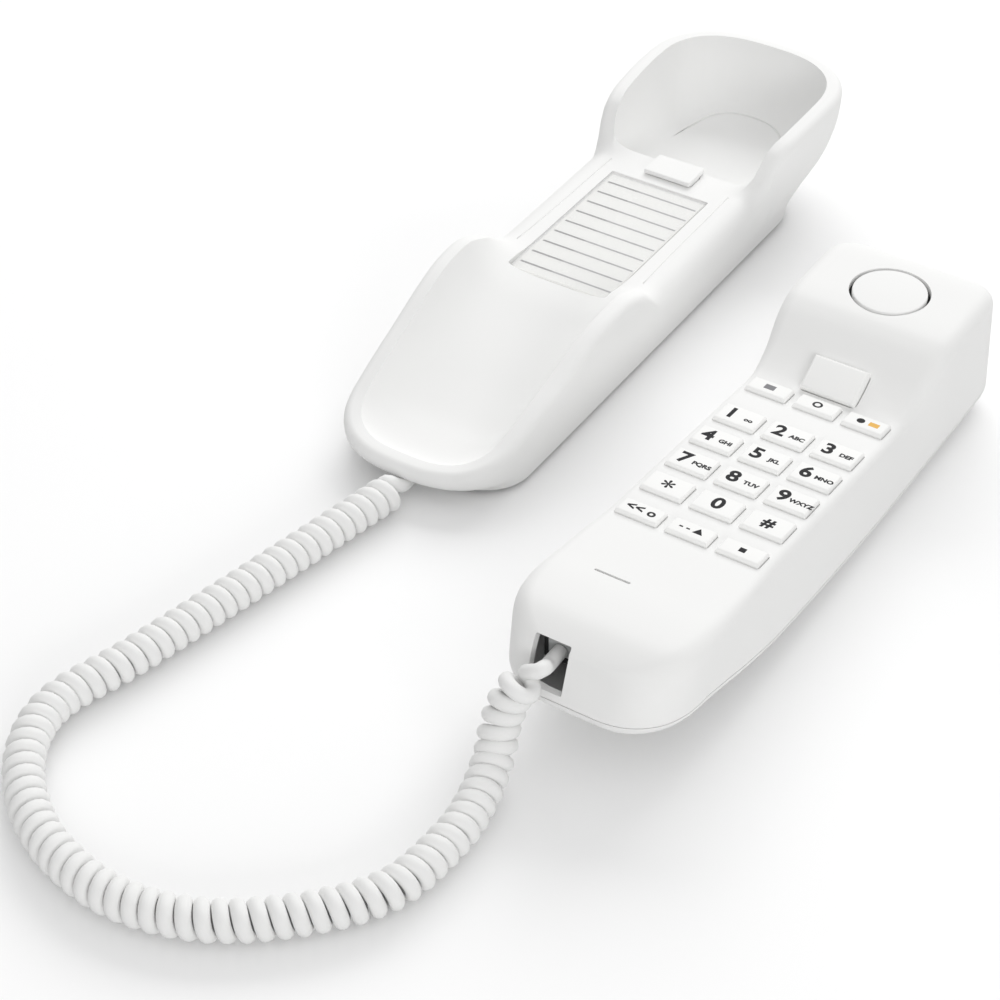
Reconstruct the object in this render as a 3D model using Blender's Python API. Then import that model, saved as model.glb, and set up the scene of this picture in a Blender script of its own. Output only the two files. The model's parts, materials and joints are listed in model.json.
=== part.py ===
"""Corded trimline telephone: a cradle base, its handset lying beside it, and their curly cord.

Lengths are in millimetres and are turned into metres when a mesh is made. X runs from the base
to the handset, Y from the mouth end to the ear end, Z up. Stations along the base are counted
from its front rim, and stations along the handset from its mouth end.
"""

import math

import bmesh
import bpy
from mathutils import Matrix, Vector

MM = 0.001
GAP = 0.3

# ---------------------------------------------------------------- base: driving sizes
BASE_LENGTH = 228.0
BASE_WALL = 2.0
RIM_HEIGHT = ((0, 11.5), (14, 14), (38, 22), (68, 31.4), (77, 32), (88, 28.5), (98, 22.6),
              (104, 22), (158, 22), (163, 24.5), (169, 33), (176, 35.3), (196, 36.8), (228, 37.5))
RIM_HALF_WIDTH = ((0, 27), (14, 27.5), (28, 28.6), (58, 30.2), (74, 31), (90, 30.6),
                  (104, 29.5), (156, 29.8), (168, 32), (180, 33.6), (196, 34.2), (228, 33.4))
RIM_ROUND = ((0, 2.6), (86, 2.6), (102, 6), (156, 6), (168, 2.6), (228, 2.6))
RIM_BAND = ((0, 5.2), (86, 5.2), (102, 7.6), (156, 7.6), (168, 5.2), (228, 5.2))
FLOOR_HEIGHT = ((0, 7.6), (25, 8), (38, 10.2), (55, 14.4), (70, 18.2), (82, 21), (92, 22),
                (163.6, 22), (165.4, 12.4), (172, 11.8), (200, 12.2), (213, 15.5), (228, 22))
CUP_STEEPNESS = ((0, 4.2), (90, 4.2), (165, 9), (228, 9))
FRONT_ROUND = 22.0
BACK_ROUND = 27.0
FOOT_FRONT = 9.3
FOOT_BACK = 200.0
FOOT_HALF_WIDTH = 28.5
FOOT_FRONT_ROUND = 18.0
FOOT_BACK_ROUND = 22.0
FRONT_BLEND = 45.0
END_POWER = 2.4
BRIDGE_TOP = 22.0
WELL_EDGE = 163.6
SKIRT_BOTTOM = 1.5
PLATE_THICKNESS = 1.8
RUBBER_HEIGHT = 1.2
RUBBER_RADIUS = 4.6
RUBBER_PLACES = ((-19, 30), (19, 30), (-19, 184), (19, 184))

CARD_LENGTH = 62.0
CARD_WIDTH = 34.0
CARD_CENTRE = 118.5
CARD_THICKNESS = 0.2
COVER_THICKNESS = 0.6
CARD_RECESS = 1.2
CARD_CLEARANCE = 0.5

TAB_WIDTH = 16.5
TAB_DEPTH = 5.9
TAB_TONGUE = 10.3
TAB_LIP = 1.5
TAB_TRAVEL = 9.0

SCREW_SHANK_RADIUS = 1.3
SCREW_HEAD_RADIUS = 2.6
SCREW_HEAD_HEIGHT = 1.4
BOSS_RADIUS = 3.4
BASE_SCREW_X = 22.0
BASE_SCREW_STATIONS = (102, 148)

BOARD_THICKNESS = 1.6
BASE_BOARD_SIZE = (34.0, 56.0)
BASE_BOARD_Z = 13.6
BASE_BOARD_STATION = 125.0
BALLAST_SIZE = (24.0, 52.0, 4.2)
RINGER_RADIUS = 11.0
RINGER_HEIGHT = 2.6

PLUG_WIDTH = 7.7
PLUG_HEIGHT = 6.2
PLUG_LENGTH = 12.0
SOCKET_WALL = 1.2
SOCKET_DEPTH = 12.0
BASE_SOCKET_STATION = 57.0
LINE_SOCKET_STATION = 138.0
LINE_SOCKET_WIDTH = 10.0
LINE_SOCKET_HEIGHT = 7.0

# ------------------------------------------------------------- handset: driving sizes
HANDSET_LENGTH = 197.0
HANDSET_WALL = 2.2
FACE_HEIGHT = ((0, 36), (10, 37.4), (20, 37), (32, 35), (51, 32.34), (75, 30.12), (98, 28),
               (120, 25.97), (134, 24.68), (136, 24.8), (140, 26.4), (145, 29.6), (150, 33.6),
               (155, 37), (160, 38.8), (166, 39.3), (187, 39.2), (197, 38))
BACK_HEIGHT = ((0, 12), (12, 11.7), (24, 10.2), (40, 7), (56, 4.7), (92, 1.5), (120, 0.2), (140, 0),
               (197, 0))
FACE_HALF_WIDTH = ((0, 25.5), (20, 26), (40, 25), (58, 24), (134, 24), (145, 24.6), (155, 26),
                   (165, 26.5), (197, 26.5))
BODY_HALF_WIDTH = ((0, 25.6), (16, 26), (36, 27.2), (60, 28), (197, 28))
FACE_ROUND = ((0, 6), (20, 5), (48, 2.6), (134, 2.6), (155, 4.5), (197, 4.5))
SEAM_RISE = 6.5
BACK_FLAT = 0.62
MOUTH_ROUND = 18.0
MOUTH_LEAN = 4.0
LEAN_REACH = 36.0
EAR_ROUND = 14.0
SEAM_GAP = 0.3

KEYPAD_STATION = 98.0
KEYPAD_HEIGHT = 28.0
KEYPAD_TILT = math.radians(-5.27)
KEY_PITCH_X = 15.0
KEY_PITCH_Y = 13.6
KEY_SIZE = (12.4, 8.8)
FUNCTION_KEY_SIZE = (12.4, 6.4)
KEY_RISE = 1.3
KEY_DEPTH = 4.7
KEY_CLEARANCE = 0.3
KEY_TRAVEL = 0.8
TOP_ROW = 31.8
BOTTOM_ROW = -41.6
DIGIT_NAMES = (("1", "2", "3"), ("4", "5", "6"), ("7", "8", "9"), ("star", "0", "hash"))
TOP_NAMES = ("redial", "flash", "mute")
BOTTOM_NAMES = ("memory", "volume", "ringer")
MEMBRANE_SIZE = (41.0, 84.0)
MEMBRANE_THICKNESS = 1.0
HANDSET_BOARD_SIZE = (36.0, 90.0)

HOOK_SIZE = (17.0, 11.0)
HOOK_STATION = 140.2
HOOK_HEIGHT = 27.9
HOOK_TILT = math.radians(31.0)
HOOK_THICKNESS = 5.5
HOOK_TRAVEL = 2.5
SPRING_RADIUS = 2.2
SPRING_WIRE = 0.3
SPRING_TURNS = 5
SPRING_LENGTH = 5.0

EARPIECE_STATION = 173.25
EARPIECE_RADIUS = 10.9
EARPIECE_GROOVE = 0.95
EARPIECE_THICKNESS = 2.2
RECEIVER_RADIUS = 13.0
RECEIVER_HEIGHT = 5.5
MIC_STATION = 27.4
MIC_X = -6.6
MIC_RADIUS = 4.8
MIC_HEIGHT = 4.5
MIC_SLOT = (10.4, 0.9)
JACK_X = -8.0
JACK_Z = 27.0
JACK_STATION = 6.0
JACK_OPENING = (10.4, 13.0)
HANDSET_BALLAST_SIZE = (30.0, 46.0, 5.0)
HANDSET_SCREWS = ((13.0, 22.0), (0.0, 156.0))

# ------------------------------------------------------------------- layout and cord
CENTRE_DISTANCE = 96.0
HANDSET_AHEAD = 59.5
COIL_RADIUS = 5.5
WIRE_RADIUS = 1.9
COIL_ROUTE = ((42.0, -149.6, 27.6), (38.8, -152.4, 22.8), (37.8, -156.2, 15.6), (39.2, -162, 8.6),
              (42.0, -173.5, 5.9), (43.4, -188, 5.7), (40.2, -208.8, 5.7), (26.8, -226.4, 5.7),
              (8, -240.2, 5.7), (-14.6, -245.5, 5.7), (-36.8, -241, 5.7), (-53.8, -230.3, 5.7),
              (-64.1, -216.5, 5.7), (-67.1, -201.4, 5.7), (-61.6, -180, 5.7), (-56.6, -156.7, 5.7),
              (-50.4, -126, 5.7), (-46, -103.4, 5.7), (-42.6, -85.6, 5.7))
HANDSET_TAIL = ((43, -136.6, 27), (43, -141.2, 27), (43.5, -144.2, 27.9), (44.2, -146.5, 29.7),
                (43.4, -148.4, 29.6), (42.4, -149.25, 28.15))
BASE_TAIL = ((-42.45, -84.8, 5.6), (-42.4, -82.6, 4.8), (-43.8, -76, 2.6), (-44.8, -68, 2.4),
             (-45, -50, 2.4), (-45, -40, 3.4), (-45, -33, 6.2), (-45, -28.2, 7.3))
COIL_POINTS = 52
TAIL_POINTS = 12

RIM_WIDEST = max(width for _, width in RIM_HALF_WIDTH)
BODY_WIDEST = max(width for _, width in BODY_HALF_WIDTH)
BASE_X = (RIM_WIDEST - BODY_WIDEST - CENTRE_DISTANCE) / 2
HANDSET_X = BASE_X + CENTRE_DISTANCE
HANDSET_Y = -(HANDSET_AHEAD + BASE_LENGTH - MOUTH_LEAN) / 2
BASE_Y = HANDSET_Y + HANDSET_AHEAD
PLATE_TOP = SKIRT_BOTTOM + PLATE_THICKNESS


# --------------------------------------------------------------------- general tools
def value_at(curve, station):
    """Read a smooth monotone curve given as (station, value) points."""
    if station <= curve[0][0]:
        return curve[0][1]
    if station >= curve[-1][0]:
        return curve[-1][1]
    index = max(i for i in range(len(curve) - 1) if curve[i][0] <= station)
    slopes = [(b[1] - a[1]) / (b[0] - a[0]) for a, b in zip(curve, curve[1:])]

    def tangent(i):
        if i == 0 or i == len(curve) - 1 or slopes[i - 1] * slopes[i] <= 0:
            return 0.0
        return 2 * slopes[i - 1] * slopes[i] / (slopes[i - 1] + slopes[i])

    (x0, y0), (x1, y1) = curve[index], curve[index + 1]
    span = x1 - x0
    t = (station - x0) / span
    return ((1 + 2 * t) * (1 - t) ** 2 * y0 + t * t * (3 - 2 * t) * y1
            + t * (1 - t) ** 2 * span * tangent(index) - t * t * (1 - t) * span * tangent(index + 1))


def end_factor(distance, radius, power=END_POWER):
    """Share of the full width at a distance from a rounded end."""
    if distance >= radius:
        return 1.0
    return max(0.0, 1 - ((radius - distance) / radius) ** power) ** (1 / power)


def make_material(name, colour, roughness, metallic=0.0):
    material = bpy.data.materials.new(name)
    material.use_nodes = True
    shader = material.node_tree.nodes["Principled BSDF"]
    shader.inputs["Base Color"].default_value = (*colour, 1.0)
    shader.inputs["Roughness"].default_value = roughness
    shader.inputs["Metallic"].default_value = metallic
    material.diffuse_color = (*colour, 1.0)
    return material


def mesh_object(name, vertices, faces, material, smooth=False):
    """A named object from points in millimetres."""
    mesh = bpy.data.meshes.new(name)
    mesh.from_pydata([Vector(v) * MM for v in vertices], [], faces)
    shape = bmesh.new()
    shape.from_mesh(mesh)
    bmesh.ops.remove_doubles(shape, verts=shape.verts, dist=1e-6)
    bmesh.ops.recalc_face_normals(shape, faces=shape.faces)
    shape.to_mesh(mesh)
    shape.free()
    if smooth:
        mesh.shade_smooth()
        mesh.set_sharp_from_angle(angle=math.radians(40))
    thing = bpy.data.objects.new(name, mesh)
    bpy.context.scene.collection.objects.link(thing)
    if material:
        mesh.materials.append(material)
    return thing


def loft(name, rings, material, cap_last=True):
    """Join closed rings of equal length and close the first one, and the last if it is open."""
    count = len(rings[0])
    vertices = [point for ring in rings for point in ring]
    faces = []
    for k in range(len(rings) - 1):
        for i in range(count):
            j = (i + 1) % count
            faces.append((k * count + i, k * count + j, (k + 1) * count + j, (k + 1) * count + i))
    faces.append(tuple(range(count)))
    if cap_last:
        faces.append(tuple(range((len(rings) - 1) * count, len(rings) * count)))
    return mesh_object(name, vertices, faces, material, smooth=True)


def box_shape(shape, size, centre):
    """Add a box to a bmesh, in millimetres."""
    grow = Matrix.Diagonal((*[s * MM for s in size], 1.0))
    place = Matrix.Translation(Vector(centre) * MM)
    bmesh.ops.create_cube(shape, size=1.0, matrix=place @ grow)


def cylinder_shape(shape, radius, height, centre, sides=24, axis="Z"):
    """Add a cylinder to a bmesh, in millimetres, along Z or X."""
    turn = Matrix.Rotation(math.pi / 2, 4, "Y") if axis == "X" else Matrix.Identity(4)
    place = Matrix.Translation(Vector(centre) * MM) @ turn
    bmesh.ops.create_cone(shape, cap_ends=True, segments=sides, radius1=radius * MM,
                          radius2=radius * MM, depth=height * MM, matrix=place)


def solid(name, material, *parts, place=None, smooth=False):
    """An object from (maker, arguments) parts that are separate or single shapes."""
    shape = bmesh.new()
    for maker, arguments in parts:
        maker(shape, *arguments)
    mesh = bpy.data.meshes.new(name)
    shape.to_mesh(mesh)
    shape.free()
    if smooth:
        mesh.shade_smooth()
        mesh.set_sharp_from_angle(angle=math.radians(40))
    thing = bpy.data.objects.new(name, mesh)
    bpy.context.scene.collection.objects.link(thing)
    if material:
        mesh.materials.append(material)
    if place is not None:
        thing.matrix_world = place
    return thing


def extruded(name, outline, low, high, material, place=None):
    """A prism across X from an outline of (y, z) points."""
    count = len(outline)
    vertices = [(x, y, z) for x in (low, high) for y, z in outline]
    faces = [tuple(range(count)), tuple(range(count, 2 * count))]
    for i in range(count):
        j = (i + 1) % count
        faces.append((i, j, count + j, count + i))
    thing = mesh_object(name, vertices, faces, material)
    if place is not None:
        thing.matrix_world = place
    return thing


def combine(target, operand, operation="DIFFERENCE"):
    """Cut or join with a helper object, which stays hidden."""
    operand.hide_render = True
    operand.display_type = "WIRE"
    modifier = target.modifiers.new(operand.name, "BOOLEAN")
    modifier.operation = operation
    modifier.object = operand


def bevel(thing, width, segments=2):
    modifier = thing.modifiers.new("edges", "BEVEL")
    modifier.width = width * MM
    modifier.segments = segments
    modifier.limit_method = "ANGLE"


def smooth_route(points, count):
    """Evenly spaced points on a smooth curve through the route's own points."""
    ends = [Vector(points[0]) * 2 - Vector(points[1]), Vector(points[-1]) * 2 - Vector(points[-2])]
    knots = [ends[0], *[Vector(p) for p in points], ends[1]]
    fine = []
    for a, b, c, d in zip(knots, knots[1:], knots[2:], knots[3:]):
        for step in range(24):
            t = step / 24
            fine.append(0.5 * (2 * b + (c - a) * t + (2 * a - 5 * b + 4 * c - d) * t ** 2
                               + (3 * b - a - 3 * c + d) * t ** 3))
    fine.append(knots[-2])
    travelled = [0.0]
    for a, b in zip(fine, fine[1:]):
        travelled.append(travelled[-1] + (b - a).length)
    route = []
    for k in range(count):
        goal = travelled[-1] * k / (count - 1)
        i = min(max(j for j in range(len(fine)) if travelled[j] <= goal + 1e-9), len(fine) - 2)
        share = (goal - travelled[i]) / max(travelled[i + 1] - travelled[i], 1e-9)
        route.append(fine[i].lerp(fine[i + 1], min(share, 1.0)))
    return route


def tube(name, points, radius, material, resolution):
    """A closed round tube along a polyline, as a curve object."""
    curve = bpy.data.curves.new(name, "CURVE")
    curve.dimensions = "3D"
    curve.bevel_depth = radius * MM
    curve.bevel_resolution = resolution
    curve.use_fill_caps = True
    curve.render_resolution_u = 0
    spline = curve.splines.new("POLY")
    spline.points.add(len(points) - 1)
    for spot, point in zip(spline.points, points):
        spot.co = (*(Vector(point) * MM), 1.0)
    curve.materials.append(material)
    thing = bpy.data.objects.new(name, curve)
    bpy.context.scene.collection.objects.link(thing)
    return thing


def on_base(x=0.0, station=0.0, z=0.0):
    return (BASE_X + x, BASE_Y + station, z)


def on_handset(x=0.0, station=0.0, z=0.0):
    return (HANDSET_X + x, HANDSET_Y + station, z)


def frame_at(point, tilt=0.0):
    """A placing matrix at a point in millimetres, turned about X."""
    return Matrix.Translation(Vector(point) * MM) @ Matrix.Rotation(tilt, 4, "X")


# ------------------------------------------------------------------------ base shell
def rim_half_width(station):
    ends = end_factor(station, FRONT_ROUND) * end_factor(BASE_LENGTH - station, BACK_ROUND)
    return value_at(RIM_HALF_WIDTH, station) * ends


def foot_half_width(station, inset=0.0):
    front = end_factor(station - FOOT_FRONT - inset, FOOT_FRONT_ROUND)
    back = end_factor(FOOT_BACK - inset - station, FOOT_BACK_ROUND)
    return (FOOT_HALF_WIDTH - inset) * front * back


def foot_station_under(station):
    """Where the wall below a rim station meets the skirt: drawn in at both ends."""
    if station < FRONT_BLEND:
        return FOOT_FRONT + station * (FRONT_BLEND - FOOT_FRONT) / FRONT_BLEND
    if station > WELL_EDGE:
        share = (station - WELL_EDGE) / (BASE_LENGTH - WELL_EDGE)
        return WELL_EDGE + share * (FOOT_BACK - WELL_EDGE)
    return station


def base_stations():
    """Stations along the rim: close together round the ends and at the ear well's edge."""
    ends = [math.radians(angle) for angle in (0, 14, 28, 42, 56, 70, 84)]
    front = [FRONT_ROUND * (1 - math.cos(angle)) for angle in ends]
    back = [BASE_LENGTH - BACK_ROUND * (1 - math.cos(angle)) for angle in reversed(ends)]
    middle = [26, 32, 38, 45, 52, 60, 68, 74, 80, 85, 90, 94, 98, 104, 118, 132, 146, 156, 160,
              WELL_EDGE, 165.4, 168, 172, 178, 186, 194]
    return front + middle + back


def floor_height(station):
    return value_at(FLOOR_HEIGHT, station)


def base_rings():
    """Rings from the skirt's lower edge, up the wall, over the rim and down to the spine."""
    wall_steps = ((0, 0), (0.18, 0.13), (0.32, 0.4), (0.45, 0.68), (0.6, 0.86), (0.8, 0.97), (1, 1))
    round_steps = (30, 60, 90)
    inner_steps = (1.0, 0.965, 0.92, 0.87, 0.81, 0.74, 0.63, 0.45, 0.22, 0.0)
    stations = base_stations()
    loop = [(1, s) for s in stations] + [(-1, s) for s in reversed(stations[1:-1])]
    rings = [[] for _ in range(len(wall_steps) + len(round_steps) + len(inner_steps))]
    for side, station in loop:
        rim = Vector((side * rim_half_width(station), station))
        foot_station = foot_station_under(station)
        foot = Vector((side * foot_half_width(foot_station), foot_station))
        spine = Vector((0, min(max(station, FRONT_ROUND), BASE_LENGTH - BACK_ROUND)))
        inward = (spine - rim).normalized()
        top = value_at(RIM_HEIGHT, station)
        radius = value_at(RIM_ROUND, station)
        edge = rim + inward * value_at(RIM_BAND, station)
        column = []
        for rise, spread in wall_steps:
            spot = foot.lerp(rim, spread)
            column.append((spot.x, spot.y, SKIRT_BOTTOM + (top - radius - SKIRT_BOTTOM) * rise))
        for degrees in round_steps:
            angle = math.radians(degrees)
            spot = rim + inward * radius * (1 - math.cos(angle))
            column.append((spot.x, spot.y, top - radius * (1 - math.sin(angle))))
        for share in inner_steps:
            spot = spine.lerp(edge, share)
            floor = floor_height(spot.y)
            wall = share ** value_at(CUP_STEEPNESS, spot.y)
            column.append((spot.x, spot.y, floor + (top - floor) * wall))
        for ring, point in zip(rings, column):
            ring.append(on_base(*point))
    return rings


def foot_end_stations(inset):
    """Stations round the front and the back end of the footprint, drawn in by an inset."""
    angles = [math.radians(90 * k / 9) for k in range(10)]
    front = [FOOT_FRONT + inset + FOOT_FRONT_ROUND * (1 - math.cos(a)) for a in angles]
    back = [FOOT_BACK - inset - FOOT_BACK_ROUND * (1 - math.cos(a)) for a in reversed(angles)]
    return front, back


def base_hollow():
    """The room under the cradle floor, a wall's thickness inside the shell."""
    front, back = foot_end_stations(BASE_WALL)
    middle = [38, 55, 70, 82, 92, WELL_EDGE - BASE_WALL, WELL_EDGE - BASE_WALL + 0.2]
    stations = [front[0] + 0.05, *front[1:], *middle, *back[:-1], back[-1] - 0.05]
    rings = []
    for station in stations:
        half = foot_half_width(station, BASE_WALL)
        ahead = station + 2 * BASE_WALL if station > WELL_EDGE - BASE_WALL else station
        top = floor_height(ahead) - BASE_WALL
        section = ((-half, SKIRT_BOTTOM - 2), (half, SKIRT_BOTTOM - 2), (half, top), (-half, top))
        rings.append([on_base(x, station, z) for x, z in section])
    return loft("base_hollow", rings, None)


def make_base_shell(material):
    shell = loft("base_shell", base_rings(), material, cap_last=False)
    combine(shell, base_hollow())
    bosses = []
    pilots = []
    boss_low = PLATE_TOP + GAP
    boss_high = BRIDGE_TOP - BASE_WALL / 2
    for x in (-BASE_SCREW_X, BASE_SCREW_X):
        for station in BASE_SCREW_STATIONS:
            middle = on_base(x, station, (boss_low + boss_high) / 2)
            bosses.append((cylinder_shape, (BOSS_RADIUS, boss_high - boss_low, middle, 16)))
            pilots.append((cylinder_shape, (SCREW_SHANK_RADIUS + GAP, 20.0,
                                            on_base(x, station, boss_low + 6), 16)))
    combine(shell, solid("shell_bosses", None, *bosses), "UNION")
    recess = (CARD_WIDTH + 2 * CARD_CLEARANCE, CARD_LENGTH + 2 * CARD_CLEARANCE, 2 * CARD_RECESS)
    slot = (TAB_WIDTH + 2 * GAP, TAB_DEPTH + 2 * GAP, 4 * BASE_WALL)
    arch = (2 * WIRE_RADIUS + 3.2, 24.0, 2 * (6.0 - SKIRT_BOTTOM) + 1.0)
    inlet = (3 * BASE_WALL, LINE_SOCKET_WIDTH, LINE_SOCKET_HEIGHT)
    cuts = [(box_shape, (recess, on_base(0, CARD_CENTRE, BRIDGE_TOP))),
            (box_shape, (slot, on_base(0, tab_station(), BRIDGE_TOP))),
            (box_shape, (arch, on_base(0, FOOT_FRONT, SKIRT_BOTTOM - 0.5))),
            (box_shape, (inlet, on_base(-FOOT_HALF_WIDTH, LINE_SOCKET_STATION, line_socket_z())))]
    combine(shell, solid("shell_cuts", None, *cuts))
    combine(shell, solid("screw_pilots", None, *pilots))
    return shell


def line_socket_z():
    return PLATE_TOP + GAP + SOCKET_WALL + LINE_SOCKET_HEIGHT / 2


def tab_station():
    return WELL_EDGE - BASE_WALL - 2 * GAP - TAB_DEPTH / 2


# ---------------------------------------------------------------- base: other pieces
def make_bottom_plate(material):
    inset = BASE_WALL + 2 * GAP
    front, back = foot_end_stations(inset)
    stations = front + back
    right = [(foot_half_width(s, inset), s) for s in stations]
    left = [(-x, s) for x, s in reversed(right[1:-1])]
    ring = [on_base(x, s, 0) for x, s in right + left]
    rings = [[(x, y, z) for x, y, _ in ring] for z in (SKIRT_BOTTOM, PLATE_TOP)]
    plate = loft("base_bottom_plate", rings, material)
    channel_length = BASE_SOCKET_STATION - FOOT_FRONT
    channel = (2 * WIRE_RADIUS + 3.2, channel_length, 3 * PLATE_THICKNESS)
    cuts = [(box_shape, (channel, on_base(0, FOOT_FRONT + channel_length / 2 - 2, SKIRT_BOTTOM)))]
    combine(plate, solid("cord_channel", None, *cuts))
    holes = []
    heads = []
    for x in (-BASE_SCREW_X, BASE_SCREW_X):
        for station in BASE_SCREW_STATIONS:
            holes.append((cylinder_shape, (SCREW_SHANK_RADIUS + GAP, 3 * PLATE_THICKNESS,
                                           on_base(x, station, SKIRT_BOTTOM), 16)))
            heads.append((cylinder_shape, (SCREW_HEAD_RADIUS + GAP, 2 * (SCREW_HEAD_HEIGHT - 0.3),
                                           on_base(x, station, SKIRT_BOTTOM), 16)))
    combine(plate, solid("screw_holes", None, *holes))
    combine(plate, solid("screw_recesses", None, *heads))
    return plate


def make_screw(name, point, length, material):
    """A pan-head screw standing on its head, point upwards."""
    outline = ((0, 0), (SCREW_HEAD_RADIUS, 0), (SCREW_HEAD_RADIUS, SCREW_HEAD_HEIGHT - GAP),
               (SCREW_SHANK_RADIUS, SCREW_HEAD_HEIGHT - GAP), (SCREW_SHANK_RADIUS, length - 1),
               (0, length))
    sides = 12
    rings = []
    for radius, z in outline[1:-1]:
        ring = []
        for k in range(sides):
            angle = 2 * math.pi * k / sides
            ring.append((point[0] + radius * math.cos(angle), point[1] + radius * math.sin(angle),
                         point[2] + z))
        rings.append(ring)
    return loft(name, rings, material)


def make_socket(name, inner_width, inner_height, depth, place, material):
    """An open-fronted jack body; its mouth faces local -Y at the origin."""
    outer = (inner_width + 2 * SOCKET_WALL, depth + 3, inner_height + 2 * SOCKET_WALL)
    hollow = (inner_width, depth + 1, inner_height)
    socket = solid(name, material, (box_shape, (outer, (0, (depth + 3) / 2, 0))), place=place)
    cutter = solid(name + "_hollow", None, (box_shape, (hollow, (0, (depth - 1) / 2, 0))),
                   place=place)
    combine(socket, cutter)
    return socket


def make_plug(name, place, material):
    """A clear modular plug; its nose points along local +Y from the origin."""
    half = PLUG_HEIGHT / 2
    outline = ((0, -half + 1), (0, half - 1), (1, half), (PLUG_LENGTH, half),
               (PLUG_LENGTH, -half), (1, -half))
    return extruded(name, outline, -PLUG_WIDTH / 2, PLUG_WIDTH / 2, material, place)


def make_hanger_tab(material):
    front = tab_station() - TAB_DEPTH / 2
    back = front + TAB_DEPTH
    lip_back = WELL_EDGE + 0.8
    lip = BRIDGE_TOP + GAP
    outline = ((front, lip - TAB_TONGUE), (back, lip - TAB_TONGUE), (back, lip), (lip_back, lip),
               (lip_back, lip + TAB_LIP), (front - 1.2, lip + TAB_LIP), (front - 1.2, lip),
               (front, lip))
    tab = extruded("hanger_tab", outline, -TAB_WIDTH / 2, TAB_WIDTH / 2, material)
    tab.location = Vector(on_base()) * MM
    bevel(tab, 0.35)
    return tab


def make_base(looks):
    pieces = [make_base_shell(looks["white_shell"]), make_bottom_plate(looks["plate_grey"])]
    for number, (x, station) in enumerate(RUBBER_PLACES, 1):
        middle = on_base(x, station, RUBBER_HEIGHT / 2)
        foot = solid(f"rubber_foot_{number}", looks["foot_rubber"],
                     (cylinder_shape, (RUBBER_RADIUS, RUBBER_HEIGHT, middle, 24)), smooth=True)
        pieces.append(foot)
    number = 0
    for x in (-BASE_SCREW_X, BASE_SCREW_X):
        for station in BASE_SCREW_STATIONS:
            number += 1
            pieces.append(make_screw(f"plate_screw_{number}", on_base(x, station, SKIRT_BOTTOM),
                                     12.0, looks["screw_steel"]))
    low = PLATE_TOP + GAP
    middle = on_base(0, BASE_BOARD_STATION, low + BALLAST_SIZE[2] / 2)
    pieces.append(solid("base_ballast", looks["ballast_steel"], (box_shape, (BALLAST_SIZE, middle))))
    board = (*BASE_BOARD_SIZE, BOARD_THICKNESS)
    middle = on_base(0, BASE_BOARD_STATION, BASE_BOARD_Z + BOARD_THICKNESS / 2)
    pieces.append(solid("base_circuit_board", looks["board_green"], (box_shape, (board, middle))))
    ringer_z = BASE_BOARD_Z + BOARD_THICKNESS + GAP + RINGER_HEIGHT / 2
    middle = on_base(0, BASE_BOARD_STATION - 10, ringer_z)
    pieces.append(solid("ringer_disc", looks["brass_disc"],
                        (cylinder_shape, (RINGER_RADIUS, RINGER_HEIGHT, middle, 28)), smooth=True))
    socket_z = PLATE_TOP + GAP + SOCKET_WALL + (PLUG_HEIGHT + 2 * GAP) / 2
    socket = frame_at(on_base(0, BASE_SOCKET_STATION, socket_z))
    pieces.append(make_socket("base_cord_jack", PLUG_WIDTH + 2 * GAP, PLUG_HEIGHT + 2 * GAP,
                              SOCKET_DEPTH, socket, looks["jack_black"]))
    plug = frame_at(on_base(0, BASE_SOCKET_STATION - 0.5, socket_z))
    pieces.append(make_plug("base_cord_plug", plug, looks["clear_plug"]))
    side = -FOOT_HALF_WIDTH + BASE_WALL + GAP + 0.4
    inlet = frame_at(on_base(side, LINE_SOCKET_STATION, line_socket_z()))
    inlet = inlet @ Matrix.Rotation(-math.pi / 2, 4, "Z")
    pieces.append(make_socket("line_jack", LINE_SOCKET_WIDTH, LINE_SOCKET_HEIGHT, SOCKET_DEPTH - 2,
                              inlet, looks["jack_black"]))
    card_low = BRIDGE_TOP - CARD_RECESS + 0.25
    card = (CARD_WIDTH - 0.4, CARD_LENGTH - 0.4, CARD_THICKNESS)
    middle = on_base(0, CARD_CENTRE, card_low + CARD_THICKNESS / 2)
    pieces.append(solid("index_card", looks["card_paper"], (box_shape, (card, middle))))
    cover = (CARD_WIDTH, CARD_LENGTH, COVER_THICKNESS)
    cover_low = card_low + CARD_THICKNESS + 0.25
    middle = on_base(0, CARD_CENTRE, cover_low + COVER_THICKNESS / 2)
    pieces.append(solid("card_cover", looks["clear_cover"], (box_shape, (cover, middle))))
    pieces.append(make_hanger_tab(looks["white_shell"]))
    return pieces


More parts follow.
